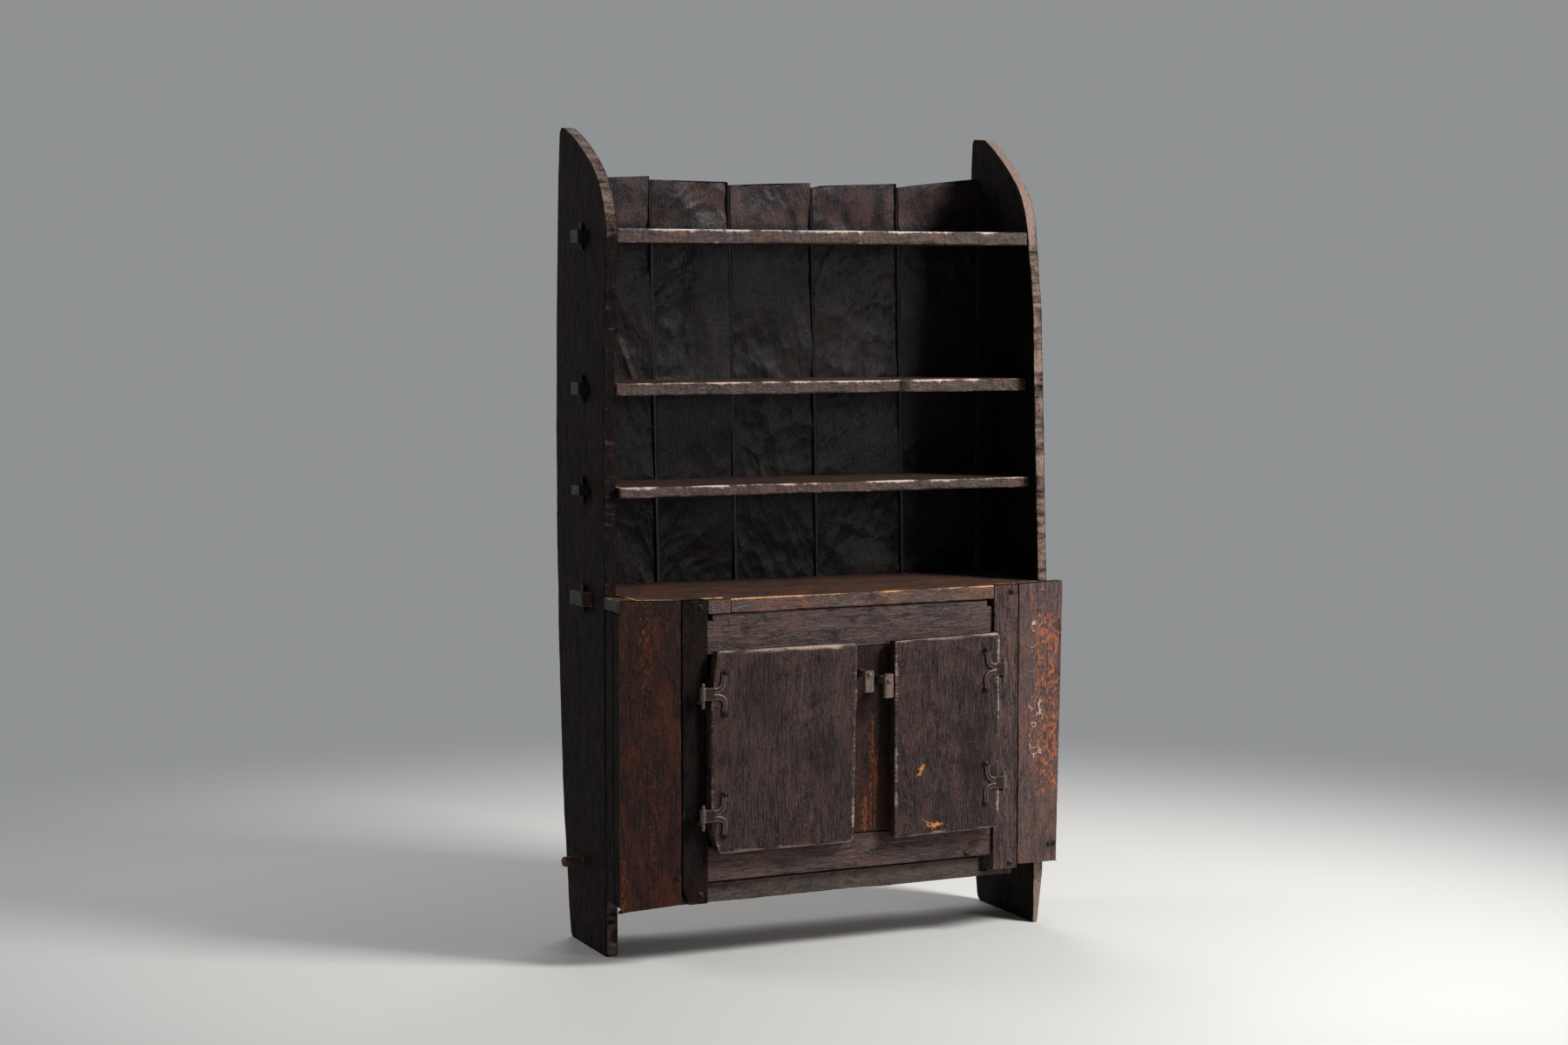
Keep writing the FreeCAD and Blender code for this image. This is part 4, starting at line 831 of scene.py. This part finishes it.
# Worn edges take a pale colour: partly rubbed metal, partly a painted highlight.
edge_wear_and_highlight = add_node(tree, "Attribute", attribute_name="wear").outputs["Fac"]
inputs = {0: edge_wear_and_highlight, 6: ramp.outputs["Color"], 7: linear("#8a7d75")}
polish = add_node(tree, "Mix", inputs, data_type="RGBA").outputs[2]
bump = add_node(tree, "Bump", {"Height": dents, "Strength": 0.6, "Distance": 1.2 * MM}).outputs[0]
set_inputs(shader, {"Base Color": polish, "Normal": bump})
set_inputs(shader, {"Metallic": 0.45, "Roughness": 0.4, "Specular IOR Level": 0.2})


def forged_bar(path, widths, thicks, flat_way, seed, around=16):
    """A forged bar: a ring carried along a path that lies square to flat_way. The ring is a circle with its
    sine and cosine drawn out to a power, so its faces are flatter, and noise moves it to the side."""
    fullness, hammer_size, hammer_deep = 0.6, 5 * MM, 0.25 * MM
    path, widths, thicks = np.asarray(path), np.asarray(widths) * MM, np.asarray(thicks) * MM
    way = np.gradient(path, axis=0)
    way = way / np.linalg.norm(way, axis=1, keepdims=True)
    side = np.cross(flat_way, way)[:, None]
    angles = np.linspace(0, 2 * np.pi, around, endpoint=False)
    wide, thick = (np.sign(ring) * np.abs(ring) ** fullness for ring in (np.cos(angles), np.sin(angles)))
    points = path[:, None] + 0.5 * widths[:, None, None] * wide[:, None] * side
    points = points + 0.5 * thicks[:, None, None] * thick[:, None] * flat_way
    points = points - hammer_deep * soft_noise(points / hammer_size, seed)[..., None] * side
    count = len(path)
    index = np.arange(count * around).reshape(count, around)
    turned = np.roll(index, -1, axis=1)
    faces = np.stack((index[:-1], index[1:], turned[1:], turned[:-1]), axis=-1).reshape(-1, 4).tolist()
    faces += [index[0].tolist(), index[-1][::-1].tolist()]
    flat = points.reshape(-1, 3)
    zero = np.zeros(len(flat))
    # The bar's four edges are painted pale through the wear: partly rubbed metal, partly a painted
    # highlight.
    wear = np.tile(np.clip(2 * np.abs(wide * thick) - 0.9, 0, 1), count)
    return dict(points=flat, faces=faces, grain=flat, wear=wear, end=zero, scuff=zero)


def smooth_path(knots, count=40):
    """A curve through a few knots: each coordinate is a run of cubic pieces whose slope at a knot is half
    the way between the knots beside it."""
    knots = np.asarray(knots, float)
    slopes = np.gradient(knots, axis=0)
    at = np.linspace(0, len(knots) - 1, count)
    first = np.clip(at.astype(int), 0, len(knots) - 2)
    part = (at - first)[:, None]
    keep = (1 + 2 * part) * (1 - part) ** 2 * knots[first] + part * (1 - part) ** 2 * slopes[first]
    return keep + part**2 * (3 - 2 * part) * knots[first + 1] + part**2 * (part - 1) * slopes[first + 1]


# In millimetres: the knuckle's bore, the strap's thickness, the knuckle's height and its two roundings,
# the arms' reach beyond the strap, and the spike's height on the pin.
bore, strap, knuckle, big, small, arm_reach, spike_height = 4.05, 4.0, 30.0, 1, 0.5, 20, 13.5
tip_place, tip_round = 0.88, 0.12
quarter = np.radians(np.linspace(0, 90, 4))
bend, lift = 1 - np.sin(quarter), 1 - np.cos(quarter)
strap_marks = dict(
    rounding=1.2, scoop=(9, 7, 0.5), nick=(8, 0.3), wave=(25, 0.6), points=(12, 3, 3), chip=0, rub=0.6,
    rub_reach=1.2,
)
for number, name in enumerate(("left_upper", "left_lower", "right_upper", "right_lower")):
    door, way = ("left_door", 1) if number < 2 else ("right_door", -1)
    node = "hinge_" + name
    pin = joint_row(door + "_swing", "pos_m")
    pin[2] = (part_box(node)[0].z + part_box(node)[1].z) / 2
    out = BAY * way
    axes = np.array((out, np.cross(-BAY_BACK, out), -BAY_BACK))
    centre = axes @ pin
    reach, rise = np.abs(solid_edges(node, axes)[0] - centre)[:, :2].max(0) / MM
    stations = spaced(centre[0] + 1 * MM, centre[0] + (reach - arm_reach) * MM, 1.5)
    taper = (stations - stations[0]) / (stations[-1] - stations[0])
    half = (knuckle / 2 - 2 * taper**3) * MM
    depth = (centre[2] + bore * MM, centre[2] + (bore + strap) * MM)
    limits = block_limits(stations, centre[1] - half, centre[1] + half, *depth)
    surfaces = [hewn_surface(axes, stations, limits, 100 + number, **strap_marks)]
    for knots in (
        ((-33, 7), (-24, 8), (-14.5, 15), (-11, 26), (-9.5, 37), (-6.5, rise - 0.3)),
        ((-33, -7), (-23, -7), (-11, -12), (-6.5, -23), (-8.5, -37), (-6.5, 0.3 - rise)),
    ):
        curve = smooth_path(np.array(knots) + (reach, 0)) * MM
        path = pin + curve[:, :1] * out + curve[:, 1:] * UP - (bore + strap / 2) * MM * BAY_BACK
        share = np.linspace(0, 1, len(curve))
        tip = bell(share, tip_place, 0.07)
        close = np.sqrt(np.clip(1 - ((share - tip_place) / tip_round) ** 2, 0.02, 1))
        close = np.where(share > tip_place, close, 1)
        widths = (14 - 4 * share + 3 * tip) * close
        thicks = strap * (0.35 + 0.65 * close)
        surfaces.append(forged_bar(path, widths, thicks, BAY_BACK, 110 + number))
    outer, half = bore + strap, knuckle / 2
    radii = (outer - big * bend, outer - big * lift, bore + small * bend, bore + small * lift)
    heights = (big * lift - half, half - big * bend, half - small * lift, small * bend - half)
    radii, heights = np.concatenate(radii), np.concatenate(heights)
    surfaces.append(turned_surface(pin, UP, radii, heights, 120 + number, 28, 0.35, True))
    add_piece(node, surfaces, forged_iron, door)
    low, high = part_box("pintle_" + name)
    spike = (centre[2] - solid_edges("pintle_" + name, axes)[0][:, 2].min()) / MM
    tall = (high.z - low.z) / MM
    heights = np.concatenate(([0, 0.6, 1.6], np.linspace(3, tall - 3, 10), [tall - 1.6, tall - 0.6, tall]))
    radii = np.concatenate(([1.5, 3, 3.8], np.full(10, 4.0), [3.8, 3, 1.5]))
    foot = np.array((pin[0], pin[1], low.z))
    surfaces = [turned_surface(foot, UP, radii, heights, 130 + number, 16, 0.15)]
    foot = np.array((pin[0], pin[1], low.z + spike_height * MM))
    radii = (4.4, 4.5, 4.5, 4.5, 4.4, 4.0, 2.6)
    surfaces.append(turned_surface(foot, BAY_BACK, radii, np.linspace(0, spike, 7), 134 + number, 16, 0.3))
    add_piece("pintle_" + name, surfaces, forged_iron)

# Turn buttons: two whittled blocks on nails in the muntin. Turned level they lap over the doors' edges
# and hold them shut, and here they hang down. Handling has left them pale and round.
# Handled wood: a pale grey-brown, smoothed by fingers.
button_wood = aged_wood(
    "handled_button_wood", dark="#2a201a", shade="#4a3b32", heart="#655349", cloud="#6a5240",
    drift="#584a44", bloom="#7c6c62", rubbed="#a99b90",
)
# In millimetres: half the button's width, its thickness, the nail head's height over the button's back,
# and how far the shank is sunk in the head.
half_wide, button_thick, head_height, shank_sunk = 13, 14, 14.3, 1
button_marks = dict(scoop=(14, 9, 0.8), nick=(9, 0.6), wave=(30, 1.5), points=(14, 6, 5), chip=1)
dome = np.radians(np.linspace(0, 84, 6))[1:]
head_radii = np.append((5.8, 6.0), 6 * np.cos(dome))
head_heights = np.append((0, 0.4), 0.4 + 2.6 * np.sin(dome))
for number, (name, arm, heel) in enumerate((("left", 41, 10), ("right", 39, 17))):
    pivot = joint_row(name + "_latch_turn", "pos_m")
    axes = np.array((UP, np.cross(-BAY_BACK, UP), -BAY_BACK))
    centre = axes @ pivot
    stations = spaced(centre[0] - arm * MM, centre[0] + heel * MM, 1.2)
    sides = (centre[1] - half_wide * MM, centre[1] + half_wide * MM)
    limits = block_limits(stations, *sides, centre[2], centre[2] + button_thick * MM)
    surfaces = [hewn_surface(axes, stations, limits, 140 + number, **button_marks)]
    back = (centre[2] - solid_edges("latch_" + name, axes)[0][:, 2].min()) / MM
    radii, heights = (8, 9, 9, 9, 9, 8.2), (-3, -2, 6, 14, back - 0.8, back)
    surfaces.append(turned_surface(pivot, BAY_BACK, radii, heights, 144 + number, 20, 0.6))
    add_piece("latch_" + name, surfaces, button_wood, name + "_latch")
    nail = "latch_nail_" + name
    foot = pivot - head_height * MM * BAY_BACK
    shank = (centre[2] - solid_edges(nail, axes)[0][:, 2].min()) / MM + head_height + shank_sunk
    surfaces = [turned_surface(foot, -BAY_BACK, head_radii, head_heights, 148 + number, 14, 0.5)]
    foot = foot - shank_sunk * MM * BAY_BACK
    surfaces.append(turned_surface(foot, BAY_BACK, np.full(4, 2.5), np.linspace(0, shank, 4), 150, 12, 0.1))
    add_piece(nail, surfaces, forged_iron)

# Forged nails: rose heads with hammered facets, left as the part has them, in the same iron. They hold the
# boards of the front, the back planks and the tips of the hinge arms.
for name in ("front_nails", "back_nails", "hinge_nails_left", "hinge_nails_right"):
    nails = frame["nodes"][name]
    nails.data.materials.clear()
    nails.data.materials.append(forged_iron)

# Studio: a wide pale floor that fades into an even grey for the camera, one broad lamp at the right as by
# a window, a weak low one beside it, two more behind for the back and the left side, and an even sky.
BACKGROUND = linear("#8f9193")


def seen_rays(tree):
    """One for a ray from the camera or by way of a gloss or a glass, and nought for any other."""
    rays = add_node(tree, "LightPath").outputs
    seen = rays["Is Camera Ray"]
    for kind in ("Is Glossy Ray", "Is Transmission Ray"):
        seen = maths(tree, "MAXIMUM", seen, rays[kind])
    return seen


# Matt floor paint: a pale, even grey that takes a soft shadow and melts into the background.
fade_from, fade_to = 1.2, 3.4
floor_paint, tree, shader = new_material("matt_floor_paint")
set_inputs(shader, {"Base Color": linear("#c9c7c4"), "Roughness": 0.9})
place = add_node(tree, "TexCoord").outputs["Object"]
away = add_node(tree, "VectorMath", {0: place}, operation="LENGTH").outputs["Value"]
fade = eased(tree, away, fade_from, fade_to, seen_rays(tree))
glow = add_node(tree, "Emission", {"Color": BACKGROUND, "Strength": 1.0}).outputs[0]
blend = add_node(tree, "MixShader", {0: fade, 1: shader.outputs[0], 2: glow}).outputs[0]
set_inputs(tree.nodes["Material Output"], {"Surface": blend})
floor_mesh = bpy.data.meshes.new("floor")
floor_mesh.from_pydata([(-30, -30, 0), (30, -30, 0), (30, 30, 0), (-30, 30, 0)], [], [[0, 1, 2, 3]])
floor_mesh.materials.append(floor_paint)
floor = add_object("floor", floor_mesh)
for name, place, target, size, watts in (
    ("window_lamp", (2.7, -2.6, 3.4), (0, -0.1, 0.8), 1.3, 290),
    ("low_lamp", (3.1, -4.0, 1.7), (0, -0.1, 0.9), 1.2, 60),
    ("back_lamp", (1.0, 2.9, 3.9), (0, 0.2, 0.9), 2.0, 70),
    ("left_lamp", (-3.4, 2.0, 2.6), (-0.5, 0, 0.9), 1.6, 50),
):
    lamp_data = bpy.data.lights.new(name, "AREA")
    lamp_data.size, lamp_data.energy = size, watts
    lamp = add_object(name, lamp_data)
    way = np.array(target) - np.array(place)
    tilt, turn = np.arctan2(np.hypot(way[0], way[1]), -way[2]), np.arctan2(-way[0], way[1])
    lamp.location, lamp.rotation_euler = place, (tilt, 0, turn)
world = bpy.data.worlds.new("even_sky")
world.use_nodes = True
tree = world.node_tree
sky = tree.nodes["Background"]
set_inputs(sky, {"Color": linear("#dfe3e8"), "Strength": 0.16})
behind = add_node(tree, "Background", {"Color": BACKGROUND, "Strength": 1.0}).outputs[0]
blend = add_node(tree, "MixShader", {0: seen_rays(tree), 1: sky.outputs[0], 2: behind}).outputs[0]
set_inputs(tree.nodes["World Output"], {"Surface": blend})
bpy.context.scene.world = world
bpy.context.scene.view_settings.view_transform = "Standard"

# Camera: where the photograph was taken from, a little left of the middle and at breast height.
look_down, look_right = 4.42, 23.16
camera_data = bpy.data.cameras.new("camera")
camera_data.sensor_width = 36
camera_data.lens = 68.08
camera = add_object("camera", camera_data)
camera.location = (-2.750, -6.2466, 1.485)
camera.rotation_euler = np.radians((90 - look_down, 0, -look_right))
bpy.context.scene.camera = camera
